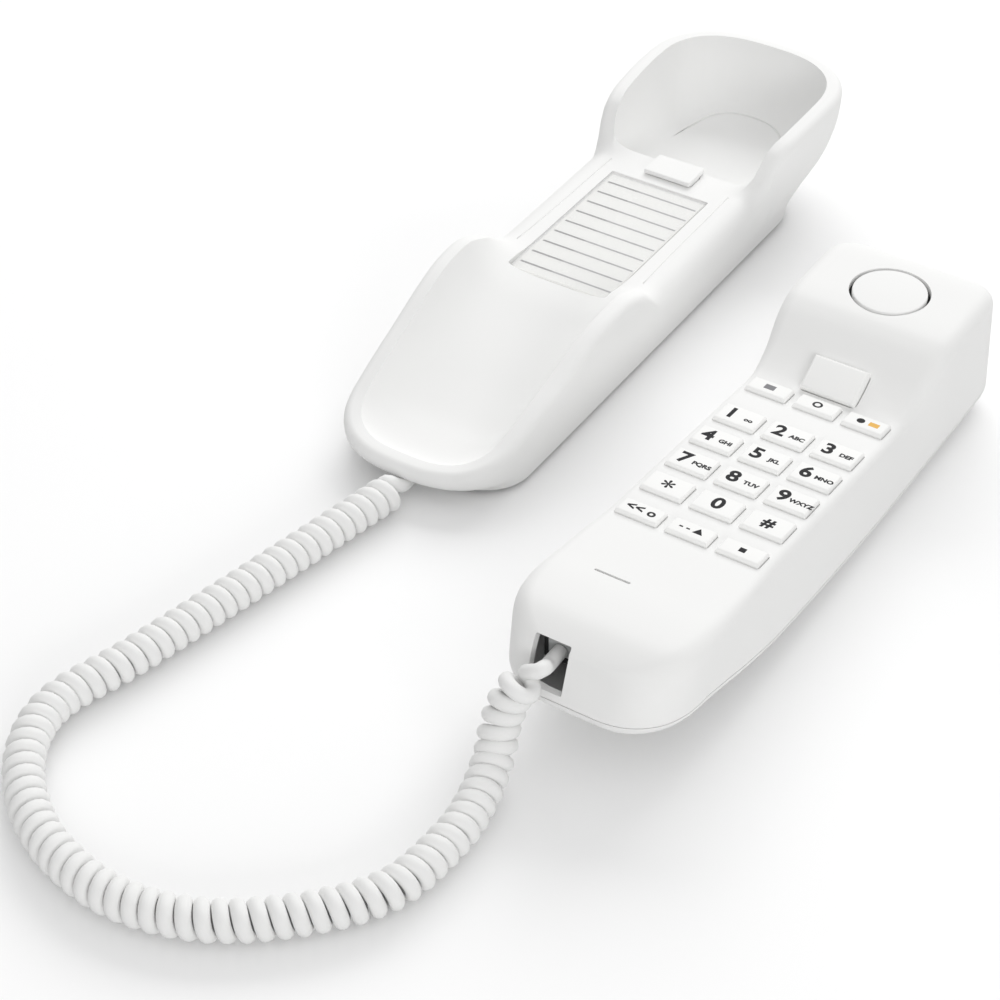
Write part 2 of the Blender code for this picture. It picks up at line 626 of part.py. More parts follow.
# --------------------------------------------------------------------- handset shells
def handset_ring(station, inset):
    """One closed section of the handset, drawn in by an inset."""
    mouth = end_factor(station - inset, MOUTH_ROUND, 2.2)
    ear = end_factor(HANDSET_LENGTH - inset - station, EAR_ROUND, 2.4)
    plan = (0.42 + 0.58 * mouth) * (0.5 + 0.5 * ear)
    top = value_at(FACE_HEIGHT, station) - inset - 5 * (1 - mouth) - 5 * (1 - ear)
    low = value_at(BACK_HEIGHT, station) + inset + 6 * (1 - mouth) + 9 * (1 - ear)
    half_top = (value_at(FACE_HALF_WIDTH, station) - inset) * plan
    half_body = (value_at(BODY_HALF_WIDTH, station) - inset) * plan
    corner = max(value_at(FACE_ROUND, station) - inset, 0.6)
    seam = min(low + max(SEAM_RISE - inset / 2, 3), top - corner - 0.8)
    lean = MOUTH_LEAN * max(0.0, 1 - station / LEAN_REACH) ** 1.5
    points = [(0, low), (half_body * BACK_FLAT * 0.6, low + 0.05), (half_body * BACK_FLAT, low + 0.2)]
    for degrees in (25, 45, 65, 90):
        angle = math.radians(degrees)
        points.append((half_body * (BACK_FLAT + (1 - BACK_FLAT) * math.sin(angle)),
                       seam - (seam - low - 0.2) * math.cos(angle)))
    for share in (0.35, 0.7):
        points.append((half_body + (half_top - half_body) * share,
                       seam + (top - corner - seam) * share))
    for degrees in (0, 22.5, 45, 67.5, 90):
        angle = math.radians(degrees)
        points.append((half_top - corner * (1 - math.cos(angle)), top - corner * (1 - math.sin(angle))))
    points.append(((half_top - corner) * 0.5, top))
    points.append((0, top))
    mirrored = [(-x, z) for x, z in reversed(points[1:-1])]
    return [on_handset(x, station - lean * (top - z) / (top - low), z) for x, z in points + mirrored]


def handset_stations(inset):
    mouth = [inset + MOUTH_ROUND * (1 - math.cos(math.radians(a))) for a in (0, 15, 30, 45, 60, 75)]
    ear = [HANDSET_LENGTH - inset - EAR_ROUND * (1 - math.cos(math.radians(a)))
           for a in (70, 50, 35, 20, 8, 0)]
    middle = [20, 26, 34, 42, 51, 65, 80, 98, 116, 130, 134, 137, 140, 143.5, 147, 150.5, 154, 158,
              162, 170, 180]
    return mouth + middle + ear


def handset_body(name, inset, material):
    rings = [handset_ring(station, inset) for station in handset_stations(inset)]
    return loft(name, rings, material)


def seam_height(station):
    return value_at(BACK_HEIGHT, station) + SEAM_RISE


def seam_cutter(name, offset, side):
    """Everything above (side 1) or below (side -1) the seam."""
    stations = [-10, 0, 20, 50, 70, 92, 106, 120, 140, 170, HANDSET_LENGTH + 10]
    edge = [(s, seam_height(s) + offset) for s in stations]
    far = 80.0 * side
    outline = [*edge, (stations[-1], far), (stations[0], far)]
    cutter = extruded(name, outline, -50, 50, None)
    cutter.location = Vector(on_handset()) * MM
    return cutter


def face_frame(x, row, depth=0.0):
    """A frame on the keypad face, with Z out of the face."""
    face = frame_at(on_handset(0, KEYPAD_STATION, KEYPAD_HEIGHT), KEYPAD_TILT)
    return face @ Matrix.Translation(Vector((x, row, depth)) * MM)


def key_places():
    """Name, column place, row place and size of each key."""
    keys = []
    for line, names in enumerate(DIGIT_NAMES):
        for column, name in enumerate(names):
            keys.append((f"key_{name}", (column - 1) * KEY_PITCH_X, (1 - line) * KEY_PITCH_Y, KEY_SIZE))
    for row, names in ((TOP_ROW, TOP_NAMES), (BOTTOM_ROW, BOTTOM_NAMES)):
        for column, name in enumerate(names):
            keys.append((f"key_{name}", (column - 1) * KEY_PITCH_X, row, FUNCTION_KEY_SIZE))
    return keys


def hook_frame(depth=0.0):
    slope = frame_at(on_handset(0, HOOK_STATION, HOOK_HEIGHT), HOOK_TILT)
    return slope @ Matrix.Translation(Vector((0, 0, depth)) * MM)


def handset_bosses():
    """Screw bosses that hang from the face down to the seam."""
    parts = []
    for x, station in HANDSET_SCREWS:
        low = seam_height(station) + 1
        high = value_at(FACE_HEIGHT, station - BOSS_RADIUS) - HANDSET_WALL / 2
        middle = on_handset(x, station, (low + high) / 2)
        parts.append((cylinder_shape, (BOSS_RADIUS, high - low, middle, 16)))
    return solid("handset_bosses", None, *parts)


def make_front_shell(material):
    shell = handset_body("handset_front_shell", 0.0, material)
    combine(shell, handset_body("handset_hollow_front", HANDSET_WALL, None))
    combine(shell, seam_cutter("below_seam", SEAM_GAP / 2, -1))
    combine(shell, handset_bosses(), "UNION")
    holes = []
    for _, x, row, (width, height) in key_places():
        size = (width + 2 * KEY_CLEARANCE, height + 2 * KEY_CLEARANCE, 4 * HANDSET_WALL)
        holes.append((box_shape, (size, (x, row, 0))))
    combine(shell, solid("key_holes", None, *holes, place=face_frame(0, 0)))
    size = (HOOK_SIZE[0] + 2 * KEY_CLEARANCE, HOOK_SIZE[1] + 2 * KEY_CLEARANCE, 16.0)
    combine(shell, solid("hook_hole", None, (box_shape, (size, (0, 0, -3))), place=hook_frame()))
    ear_top = value_at(FACE_HEIGHT, EARPIECE_STATION)
    mic_top = value_at(FACE_HEIGHT, MIC_STATION)
    opening = (JACK_OPENING[0], 14.0, JACK_OPENING[1])
    slot = (*MIC_SLOT, 4 * HANDSET_WALL)
    cuts = [(cylinder_shape, (EARPIECE_RADIUS + EARPIECE_GROOVE, 4 * HANDSET_WALL,
                              on_handset(0, EARPIECE_STATION, ear_top), 40)),
            (box_shape, (slot, on_handset(MIC_X, MIC_STATION, mic_top))),
            (box_shape, (opening, on_handset(JACK_X, 0, JACK_Z)))]
    combine(shell, solid("front_openings", None, *cuts))
    pilots = [(cylinder_shape, (SCREW_SHANK_RADIUS + GAP, 22.0,
                                on_handset(x, s, seam_height(s) + 2), 16))
              for x, s in HANDSET_SCREWS]
    combine(shell, solid("front_pilots", None, *pilots))
    return shell


def make_back_shell(material):
    shell = handset_body("handset_back_shell", 0.0, material)
    combine(shell, handset_body("handset_hollow_back", HANDSET_WALL, None))
    combine(shell, seam_cutter("above_seam", -SEAM_GAP / 2, 1))
    cuts = []
    heads = []
    for x, s in HANDSET_SCREWS:
        low = value_at(BACK_HEIGHT, s)
        cuts.append((cylinder_shape, (SCREW_SHANK_RADIUS + GAP, 12.0, on_handset(x, s, low), 16)))
        heads.append((cylinder_shape, (SCREW_HEAD_RADIUS + GAP, 2 * SCREW_HEAD_HEIGHT,
                                       on_handset(x, s, low), 16)))
    combine(shell, solid("back_screw_holes", None, *cuts))
    combine(shell, solid("back_screw_recesses", None, *heads))
    return shell


# ------------------------------------------------------------- handset: other pieces
def make_key(name, x, row, size, material):
    block = (*size, KEY_DEPTH)
    key = solid(name, material, (box_shape, (block, (0, 0, KEY_RISE - KEY_DEPTH / 2))),
                place=face_frame(x, row))
    bevel(key, 0.5)
    return key


def make_hook_spring(material):
    points = []
    turns_points = SPRING_TURNS * 10
    low = -HOOK_THICKNESS + 1.3 - GAP - SPRING_WIRE - SPRING_LENGTH
    place = hook_frame()
    for k in range(turns_points + 1):
        angle = 2 * math.pi * k / 10
        local = Vector((SPRING_RADIUS * math.cos(angle), SPRING_RADIUS * math.sin(angle),
                        low + SPRING_LENGTH * k / turns_points))
        points.append((place @ (local * MM)) / MM)
    return tube("hook_key_spring", points, SPRING_WIRE, material, 1)


def make_handset(looks):
    pieces = [make_front_shell(looks["white_shell"]), make_back_shell(looks["white_shell"])]
    for name, x, row, size in key_places():
        pieces.append(make_key(name, x, row, size, looks["key_white"]))
    block = (*HOOK_SIZE, HOOK_THICKNESS)
    hook = solid("hook_key", looks["key_white"],
                 (box_shape, (block, (0, 0, 1.6 - HOOK_THICKNESS / 2))), place=hook_frame())
    bevel(hook, 0.8, 3)
    pieces.append(hook)
    pieces.append(make_hook_spring(looks["screw_steel"]))
    switch_top = -HOOK_THICKNESS + 1.3 - SPRING_LENGTH - 2 * GAP - 2 * SPRING_WIRE
    size = (7.0, 7.0, 3.6)
    pieces.append(solid("hook_switch", looks["jack_black"],
                        (box_shape, (size, (0, 0, switch_top - 2.0))), place=hook_frame()))
    membrane_top = KEY_RISE - KEY_DEPTH - KEY_TRAVEL - GAP
    size = (*MEMBRANE_SIZE, MEMBRANE_THICKNESS)
    middle_row = (TOP_ROW + BOTTOM_ROW) / 2
    pieces.append(solid("keypad_membrane", looks["membrane_rubber"],
                        (box_shape, (size, (0, middle_row, membrane_top - MEMBRANE_THICKNESS / 2))),
                        place=face_frame(0, 0)))
    board_top = membrane_top - MEMBRANE_THICKNESS - GAP
    size = (*HANDSET_BOARD_SIZE, BOARD_THICKNESS)
    pieces.append(solid("handset_circuit_board", looks["board_green"],
                        (box_shape, (size, (0, middle_row, board_top - BOARD_THICKNESS / 2))),
                        place=face_frame(0, 0)))
    ear_top = value_at(FACE_HEIGHT, EARPIECE_STATION)
    middle = on_handset(0, EARPIECE_STATION, ear_top - EARPIECE_THICKNESS / 2)
    disc = solid("earpiece_cover", looks["white_shell"],
                 (cylinder_shape, (EARPIECE_RADIUS, EARPIECE_THICKNESS, middle, 40)), smooth=True)
    bevel(disc, 0.4)
    pieces.append(disc)
    receiver_top = ear_top - HANDSET_WALL - 2 * GAP
    middle = on_handset(0, EARPIECE_STATION, receiver_top - RECEIVER_HEIGHT / 2)
    pieces.append(solid("receiver_capsule", looks["jack_black"],
                        (cylinder_shape, (RECEIVER_RADIUS, RECEIVER_HEIGHT, middle, 32)),
                        smooth=True))
    mic_top = value_at(FACE_HEIGHT, MIC_STATION) - HANDSET_WALL - 3.2
    middle = on_handset(MIC_X, MIC_STATION, mic_top - MIC_HEIGHT / 2)
    pieces.append(solid("microphone_capsule", looks["ballast_steel"],
                        (cylinder_shape, (MIC_RADIUS, MIC_HEIGHT, middle, 20)), smooth=True))
    boot_height = MIC_HEIGHT + 2.2
    boot_middle = on_handset(MIC_X, MIC_STATION, mic_top - MIC_HEIGHT - 1.5 + boot_height / 2)
    boot = solid("microphone_boot", looks["membrane_rubber"],
                 (cylinder_shape, (MIC_RADIUS + 1.6, boot_height, boot_middle, 20)), smooth=True)
    hollow = on_handset(MIC_X, MIC_STATION, mic_top - MIC_HEIGHT - GAP + boot_height / 2)
    combine(boot, solid("boot_hollow", None,
                        (cylinder_shape, (MIC_RADIUS + GAP, boot_height, hollow, 20))))
    pieces.append(boot)
    socket = frame_at(on_handset(JACK_X, JACK_STATION, JACK_Z))
    pieces.append(make_socket("handset_cord_jack", PLUG_WIDTH + 2 * GAP, PLUG_HEIGHT + 2 * GAP,
                              SOCKET_DEPTH, socket, looks["jack_black"]))
    plug = frame_at(on_handset(JACK_X, JACK_STATION - 0.5, JACK_Z))
    pieces.append(make_plug("handset_cord_plug", plug, looks["clear_plug"]))
    ballast_station = 92.0
    ballast_z = value_at(BACK_HEIGHT, 70) + HANDSET_WALL + 2 * GAP + HANDSET_BALLAST_SIZE[2] / 2
    middle = on_handset(0, ballast_station, ballast_z)
    pieces.append(solid("handset_ballast", looks["ballast_steel"],
                        (box_shape, (HANDSET_BALLAST_SIZE, middle))))
    for number, (x, station) in enumerate(HANDSET_SCREWS, 1):
        head = on_handset(x, station, value_at(BACK_HEIGHT, station) + GAP)
        pieces.append(make_screw(f"handset_screw_{number}", head, 14.0, looks["screw_steel"]))
    return pieces


def make_cord(looks):
    coil = smooth_route(COIL_ROUTE, COIL_POINTS)
    tails = (smooth_route(HANDSET_TAIL, TAIL_POINTS), smooth_route(BASE_TAIL, 2 * TAIL_POINTS))
    return [tube("curly_cord", coil, COIL_RADIUS, looks["cord_white"], 4),
            tube("handset_cord_tail", tails[0], WIRE_RADIUS, looks["cord_white"], 2),
            tube("base_cord_tail", tails[1], WIRE_RADIUS, looks["cord_white"], 2)]


def main():
    for thing in list(bpy.data.objects):
        bpy.data.objects.remove(thing)
    looks = {
        "white_shell": make_material("white_shell", (0.83, 0.83, 0.82), 0.38),
        "plate_grey": make_material("plate_grey", (0.06, 0.06, 0.06), 0.5),
        "key_white": make_material("key_white", (0.88, 0.88, 0.88), 0.45),
        "cord_white": make_material("cord_white", (0.80, 0.80, 0.79), 0.35),
        "clear_plug": make_material("clear_plug", (0.75, 0.76, 0.76), 0.15),
        "clear_cover": make_material("clear_cover", (0.90, 0.90, 0.90), 0.10),
        "card_paper": make_material("card_paper", (0.90, 0.90, 0.89), 0.85),
        "foot_rubber": make_material("foot_rubber", (0.06, 0.06, 0.06), 0.9),
        "membrane_rubber": make_material("membrane_rubber", (0.25, 0.26, 0.28), 0.85),
        "jack_black": make_material("jack_black", (0.02, 0.02, 0.02), 0.5),
        "board_green": make_material("board_green", (0.05, 0.20, 0.09), 0.5),
        "brass_disc": make_material("brass_disc", (0.70, 0.52, 0.22), 0.35, 1.0),
        "screw_steel": make_material("screw_steel", (0.55, 0.55, 0.56), 0.35, 1.0),
        "ballast_steel": make_material("ballast_steel", (0.42, 0.42, 0.43), 0.45, 1.0),
    }
    make_base(looks)
    make_handset(looks)
    make_cord(looks)


main()
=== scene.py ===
"""Corded slim telephone: a white cradle base, its keypad handset lying beside it, and a curly cord.

Lengths are in millimetres and become metres where a mesh is made. Stations along the cradle are
counted from its front rim, and stations along the handset from its mouth end.
"""

import json
import math

import bmesh
import bpy
from bpy.props import FloatProperty, FloatVectorProperty, IntProperty, PointerProperty
from mathutils import Matrix, Vector


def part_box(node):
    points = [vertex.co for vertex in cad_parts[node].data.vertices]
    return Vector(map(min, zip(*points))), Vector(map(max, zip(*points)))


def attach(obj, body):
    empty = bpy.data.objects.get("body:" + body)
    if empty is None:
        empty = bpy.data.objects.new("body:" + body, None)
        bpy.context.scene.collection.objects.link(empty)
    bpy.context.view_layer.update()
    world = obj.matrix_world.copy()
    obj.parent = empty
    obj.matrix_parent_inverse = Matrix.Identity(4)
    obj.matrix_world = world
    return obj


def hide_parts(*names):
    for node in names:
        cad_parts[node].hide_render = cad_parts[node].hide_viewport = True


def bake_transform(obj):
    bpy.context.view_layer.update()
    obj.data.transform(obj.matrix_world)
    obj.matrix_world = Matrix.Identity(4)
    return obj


bl_info = {
    "name": "Corded slim telephone",
    "version": (1, 0, 0),
    "blender": (4, 5, 0),
    "location": "View3D > Sidebar > Telephone",
    "description": "Builds a cradle base, a keypad handset and a curly cord around a packed frame",
    "category": "Object",
}

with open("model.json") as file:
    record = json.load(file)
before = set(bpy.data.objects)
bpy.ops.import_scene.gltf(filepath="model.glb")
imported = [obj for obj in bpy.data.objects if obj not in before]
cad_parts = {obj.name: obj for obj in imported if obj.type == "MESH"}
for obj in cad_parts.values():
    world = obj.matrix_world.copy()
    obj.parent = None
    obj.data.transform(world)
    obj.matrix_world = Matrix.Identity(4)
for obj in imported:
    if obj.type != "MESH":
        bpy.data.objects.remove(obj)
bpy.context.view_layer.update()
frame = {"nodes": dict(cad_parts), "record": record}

MM = 0.001
BASE_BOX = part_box("base_shell")
HANDSET_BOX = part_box("handset_front_shell")

# -------------------- cradle: section curves
BASE_X = (BASE_BOX[0].x + BASE_BOX[1].x) / 2 / MM
BASE_Y = BASE_BOX[0].y / MM
BASE_LENGTH = 228.0
BASE_WALL = 2.0
RIM_HEIGHT = ((0, 11.5), (14, 14), (38, 22), (68, 31.4), (77, 32), (88, 28.5), (98, 22.6),
              (104, 22), (158, 22), (163, 24.5), (169, 33), (176, 35.3), (196, 36.8), (228, 37.5))
RIM_HALF_WIDTH = ((0, 27), (14, 27.5), (28, 28.6), (58, 30.2), (74, 31), (90, 30.6),
                  (104, 29.5), (156, 29.8), (168, 32), (180, 33.6), (196, 34.2), (228, 33.4))
RIM_ROUND = ((0, 2.6), (86, 2.6), (102, 6), (156, 6), (168, 2.6), (228, 2.6))
RIM_BAND = ((0, 5.2), (86, 5.2), (102, 7.6), (156, 7.6), (168, 5.2), (228, 5.2))
FLOOR_HEIGHT = ((0, 7.6), (25, 8), (38, 10.2), (55, 14.4), (70, 18.2), (82, 21), (92, 22),
                (163.6, 22), (165.4, 12.4), (172, 11.8), (200, 12.2), (213, 15.5), (228, 22))
CUP_STEEPNESS = ((0, 4.2), (90, 4.2), (165, 9), (228, 9))
WALL_BULGE = ((0, 0), (0.06, 0.02), (0.12, 0.06), (0.18, 0.13), (0.25, 0.26), (0.32, 0.4),
              (0.385, 0.545), (0.45, 0.68), (0.525, 0.785), (0.6, 0.86), (0.7, 0.93), (0.8, 0.97),
              (0.9, 0.99), (1, 1))
FRONT_ROUND = 22.0
BACK_ROUND = 27.0
FOOT_FRONT = 9.3
FOOT_BACK = 200.0
FOOT_HALF_WIDTH = 28.5
FOOT_FRONT_ROUND = 18.0
FOOT_BACK_ROUND = 22.0
FRONT_BLEND = 45.0
END_POWER = 2.4
BRIDGE_TOP = 22.0
WELL_EDGE = 163.6
SKIRT_BOTTOM = 1.5
ARCH_HEIGHT = 6.0
ARCH_WIDTH = 7.0
ARCH_REACH = 24.0
TAB_SLOT_LENGTH = 6.5
TAB_SLOT_DEPTH = 8.0
TAB_CLEARANCE = 0.3
TAB_SLOT_MIDDLE = 4.15
SOCKET_LIP = 1.2
CARD_CENTRE = 118.5
CARD_LENGTH = 62.0
CARD_WIDTH = 34.0
CARD_RECESS = 1.2
CARD_CLEARANCE = 0.5
LINE_COUNT = 9
LINE_PITCH = 6.54
LINE_LENGTH = 31.8
LINE_WIDTH = 0.75
LINE_THICKNESS = 0.06
LINE_START = 11.0
LINE_SOCKET_STATION = 138.0
HALF_WELL_LINE = ((-18.6, 167.6), (-18.7, 176), (-18.8, 186), (-18.2, 195), (-16.2, 203),
                  (-12.6, 208.8), (-7, 211.8))
WELL_LINE = (*HALF_WELL_LINE, (0, 212.6), *((-x, station) for x, station in reversed(HALF_WELL_LINE)))
WELL_LINE_DEPTH = 0.45
BRIDGE_LINE = ((22.6, 97), (22.2, 106), (21.8, 120), (21.6, 140), (21.4, 156))
BRIDGE_LINE_DEPTH = 0.28

# -------------------- handset: section curves
HANDSET_LENGTH = 197.0
HANDSET_X = (HANDSET_BOX[0].x + HANDSET_BOX[1].x) / 2 / MM
HANDSET_Y = HANDSET_BOX[1].y / MM - HANDSET_LENGTH
HANDSET_WALL = 2.2
FACE_HEIGHT = ((0, 36), (10, 37.4), (20, 37), (32, 35), (51, 32.34), (75, 30.12), (98, 28),
               (120, 25.97), (134, 24.68), (136, 24.8), (140, 26.4), (145, 29.6), (150, 33.6),
               (155, 37), (160, 38.8), (166, 39.3), (187, 39.2), (197, 38))
BACK_HEIGHT = ((0, 12), (12, 11.7), (24, 10.2), (40, 7), (56, 4.7), (92, 1.5), (120, 0.2), (140, 0),
               (197, 0))
FACE_HALF_WIDTH = ((0, 25.5), (20, 26), (40, 25), (58, 24), (134, 24), (145, 24.6), (155, 26),
                   (165, 26.5), (197, 26.5))
BODY_HALF_WIDTH = ((0, 25.6), (16, 26), (36, 27.2), (60, 28), (197, 28))
FACE_ROUND = ((0, 6), (20, 5), (48, 2.6), (134, 2.6), (155, 4.5), (197, 4.5))
SEAM_RISE = 6.5
SEAM_GAP = 0.3
BACK_FLAT = 0.62
MOUTH_ROUND = 18.0
MOUTH_LEAN = 4.0
LEAN_REACH = 36.0
EAR_ROUND = 14.0
KEYPAD_STATION = 98.0
KEYPAD_HEIGHT = 28.0
KEYPAD_TILT = math.radians(-5.27)
KEY_PITCH_X = 15.0
KEY_PITCH_Y = 13.6
KEY_SIZE = (12.4, 8.8)
FUNCTION_KEY_SIZE = (12.4, 6.4)
KEY_RISE = 1.3
KEY_DEPTH = 4.7
KEY_CLEARANCE = 0.3
KEY_CORNER = 1.1
TOP_ROW = 31.8
BOTTOM_ROW = -41.6
HOOK_SIZE = (17.0, 11.0)
HOOK_STATION = 140.2
HOOK_HEIGHT = 27.9
HOOK_TILT = math.radians(31.0)
HOOK_RISE = 1.6
HOOK_THICKNESS = 5.5
HOOK_CORNER = 2.0
HOOK_ROUNDING = 1.1
HOOK_HOLE_DEPTH = 16.0
EARPIECE_STATION = 173.25
EARPIECE_RADIUS = 10.9
EARPIECE_GROOVE = 0.95
EARPIECE_THICKNESS = 2.2
EARPIECE_EDGE = 0.45
MIC_STATION = 27.4
MIC_X = -6.6
MIC_SLOT = (10.4, 0.9)
JACK_X = -8.0
JACK_Z = 27.0
JACK_OPENING = (10.4, 14.0, 13.0)
SCREW_RECESS_RADIUS = 2.9
SCREW_RECESS_DEPTH = 2.0

# -------------------- cord's route
COIL_ROUTE = ((42.0, -149.6, 27.6), (38.8, -152.4, 22.8), (37.8, -156.2, 15.6), (39.2, -162, 8.6),
              (42.0, -173.5, 5.9), (43.4, -188, 5.7), (40.2, -208.8, 5.7), (26.8, -226.4, 5.7),
              (8, -240.2, 5.7), (-14.6, -245.5, 5.7), (-36.8, -241, 5.7), (-53.8, -230.3, 5.7),
              (-64.1, -216.5, 5.7), (-67.1, -201.4, 5.7), (-61.6, -180, 5.7), (-56.6, -156.7, 5.7),
              (-50.4, -126, 5.7), (-46, -103.4, 5.7), (-42.6, -85.6, 5.7))
HANDSET_TAIL = ((43, -136.6, 27), (43, -141.2, 27), (43.5, -144.2, 27.9), (44.2, -146.5, 29.7),
                (43.4, -148.4, 29.6))
BASE_TAIL = ((-42.4, -82.6, 4.8), (-43.8, -76, 2.6), (-44.8, -68, 2.4),
             (-45, -50, 2.4), (-45, -40, 3.4), (-45, -33, 6.2), (-45, -28.2, 7.3))

# number keys: name, big mark, small mark
NUMBER_KEYS = (("1", "1", "oo"), ("2", "2", "ABC"), ("3", "3", "DEF"), ("4", "4", "GHI"),
               ("5", "5", "JKL"), ("6", "6", "MNO"), ("7", "7", "PQRS"), ("8", "8", "TUV"),
               ("9", "9", "WXYZ"), ("star", "*", ""), ("0", "0", ""), ("hash", "#", ""))
TOP_KEYS = ("redial", "flash", "mute")
BOTTOM_KEYS = ("memory", "volume", "ringer")

# print on the keys: size and weight of each kind of mark, and its place on the key
PRINT_HEIGHT = 0.05
DIGIT_PRINT = (7.0, 0.24)
STAR_PRINT = (8.4, 0.1)
HASH_PRINT = (5.6, 0.2)
LETTER_PRINT = (2.3, 0.11)
DIGIT_PLACE = (-2.6, 0)
STAR_PLACE = (0, -1.6)
LETTER_PLACE = (3.0, -0.7)

# -------------------- stage, lengths in metres
CAMERA_PLACE = (0.2737, -0.5269, 0.4546)
CAMERA_AIM = (-0.00245, -0.09338, 0.025)
CAMERA_LENS = 90.0
CAMERA_SENSOR = 36.0
LIGHT_AIM = (0, -0.05, 0)
MAIN_LIGHT_PLACE = (-0.5, 1.35, 0.98)
MAIN_LIGHT_SIZE = (1.6, 1.0)
FILL_LIGHT_PLACE = (1.05, -1.0, 0.5)
FILL_LIGHT_SIZE = (1.0, 0.5)

# -------------------- texture scales of the finishes
MOULDED_SCALES = {"Grain scale": 2600.0, "Cloud scale": 22.0}
PLAIN_SCALES = {"Grain scale": 1500.0, "Cloud scale": 60.0}
BOARD_SCALES = {"Grain scale": 500.0, "Cloud scale": 160.0}
FLOOR_SCALES = {"Grain scale": 300.0, "Cloud scale": 4.0}
METAL_SCALES = {"Scale": 900.0}
BALLAST_SCALES = {"Scale": 400.0}


# ==================== shape formulas
def value_at(curve, station):
    """Read a smooth monotone curve given as (station, value) points."""
    if station <= curve[0][0]:
        return curve[0][1]
    if station >= curve[-1][0]:
        return curve[-1][1]
    index = max(i for i in range(len(curve) - 1) if curve[i][0] <= station)
    slopes = [(b[1] - a[1]) / (b[0] - a[0]) for a, b in zip(curve, curve[1:])]

    def tangent(i):
        if i == 0 or i == len(curve) - 1 or slopes[i - 1] * slopes[i] <= 0:
            return 0.0
        return 2 * slopes[i - 1] * slopes[i] / (slopes[i - 1] + slopes[i])

    (x0, y0), (x1, y1) = curve[index], curve[index + 1]
    span = x1 - x0
    t = (station - x0) / span
    return ((1 + 2 * t) * (1 - t) ** 2 * y0 + t * t * (3 - 2 * t) * y1
            + t * (1 - t) ** 2 * span * tangent(index) - t * t * (1 - t) * span * tangent(index + 1))


def end_factor(distance, radius, power=END_POWER):
    """Share of the full width at a distance from a rounded end."""
    if distance >= radius:
        return 1.0
    return max(0.0, 1 - ((radius - distance) / radius) ** power) ** (1 / power)


def steps(start, end, spacing):
    """Evenly spaced values from start up to end, without end itself."""
    count = max(1, round((end - start) / spacing))
    return [start + (end - start) * k / count for k in range(count)]


def smooth_route(points, count):
    """Evenly spaced points on a smooth curve through the route's own points."""
    ends = [Vector(points[0]) * 2 - Vector(points[1]), Vector(points[-1]) * 2 - Vector(points[-2])]
    knots = [ends[0], *[Vector(p) for p in points], ends[1]]
    fine = []
    for a, b, c, d in zip(knots, knots[1:], knots[2:], knots[3:]):
        for step in range(24):
            t = step / 24
            fine.append(0.5 * (2 * b + (c - a) * t + (2 * a - 5 * b + 4 * c - d) * t ** 2
                               + (3 * b - a - 3 * c + d) * t ** 3))
    fine.append(knots[-2])
    travelled = [0.0]
    for a, b in zip(fine, fine[1:]):
        travelled.append(travelled[-1] + (b - a).length)
    route = []
    place = 0
    for k in range(count):
        goal = travelled[-1] * k / (count - 1)
        while place < len(fine) - 2 and travelled[place + 1] < goal:
            place += 1
        share = (goal - travelled[place]) / max(travelled[place + 1] - travelled[place], 1e-9)
        route.append(fine[place].lerp(fine[place + 1], min(share, 1.0)))
    return route


def on_base(x=0.0, station=0.0, z=0.0):
    return Vector((BASE_X + x, BASE_Y + station, z)) * MM


def on_handset(x=0.0, station=0.0, z=0.0):
    return Vector((HANDSET_X + x, HANDSET_Y + station, z)) * MM


def turned(point, tilt=0.0):
    """A placing matrix at a point in metres, turned about X."""
    return Matrix.Translation(point) @ Matrix.Rotation(tilt, 4, "X")


def face_place(x, row, depth=0.0):
    """A place on the keypad face, with Z out of the face."""
    face = turned(on_handset(0, KEYPAD_STATION, KEYPAD_HEIGHT), KEYPAD_TILT)
    return face @ Matrix.Translation(Vector((x, row, depth)) * MM)


def hook_place():
    return turned(on_handset(0, HOOK_STATION, HOOK_HEIGHT), HOOK_TILT)


# ==================== making pieces
def box_mm(node):
    """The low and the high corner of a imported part, in millimetres."""
    return [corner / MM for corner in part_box(node)]


def start_piece():
    """Clear the selection, so that an operator acts on the new piece only."""
    if bpy.context.mode != "OBJECT":
        bpy.ops.object.mode_set(mode="OBJECT")
    bpy.ops.object.select_all(action="DESELECT")


def only(piece):
    start_piece()
    piece.select_set(True)
    bpy.context.view_layer.objects.active = piece


def named(name):
    piece = bpy.context.object
    piece.name = name
    piece.data.name = name
    return piece


def apply_modifier(piece, kind, **settings):
    """Add a modifier to a piece, set it and apply it."""
    only(piece)
    bpy.ops.object.modifier_add(type=kind)
    modifier = piece.modifiers[-1]
    for setting, value in settings.items():
        setattr(modifier, setting, value)
    bpy.ops.object.modifier_apply(modifier=modifier.name)


def cut(piece, cutter):
    """Cut a piece with a helper, which is then removed."""
    apply_modifier(piece, "BOOLEAN", operation="DIFFERENCE", object=cutter)
    bpy.data.objects.remove(cutter, do_unlink=True)


def settle(piece, place=None):
    """Put a piece in its place and move that place into its mesh."""
    only(piece)
    if place is not None:
        piece.matrix_world = place @ piece.matrix_world
    bpy.ops.object.transform_apply(location=True, rotation=True, scale=True)


def smooth(piece, degrees=32.0):
    only(piece)
    bpy.ops.object.shade_smooth_by_angle(angle=math.radians(degrees))


def block(name, size, centre=(0, 0, 0), rounding=0.0, segments=3):
    """A box with rounded edges, sizes in millimetres."""
    start_piece()
    bpy.ops.mesh.primitive_cube_add(size=1.0, location=Vector(centre) * MM)
    piece = named(name)
    piece.scale = Vector(size) * MM
    settle(piece)
    if rounding:
        bpy.ops.object.mode_set(mode="EDIT")
        bpy.ops.mesh.select_all(action="SELECT")
        bpy.ops.mesh.bevel(offset=rounding * MM, segments=segments, affect="EDGES")
        bpy.ops.object.mode_set(mode="OBJECT")
    return piece


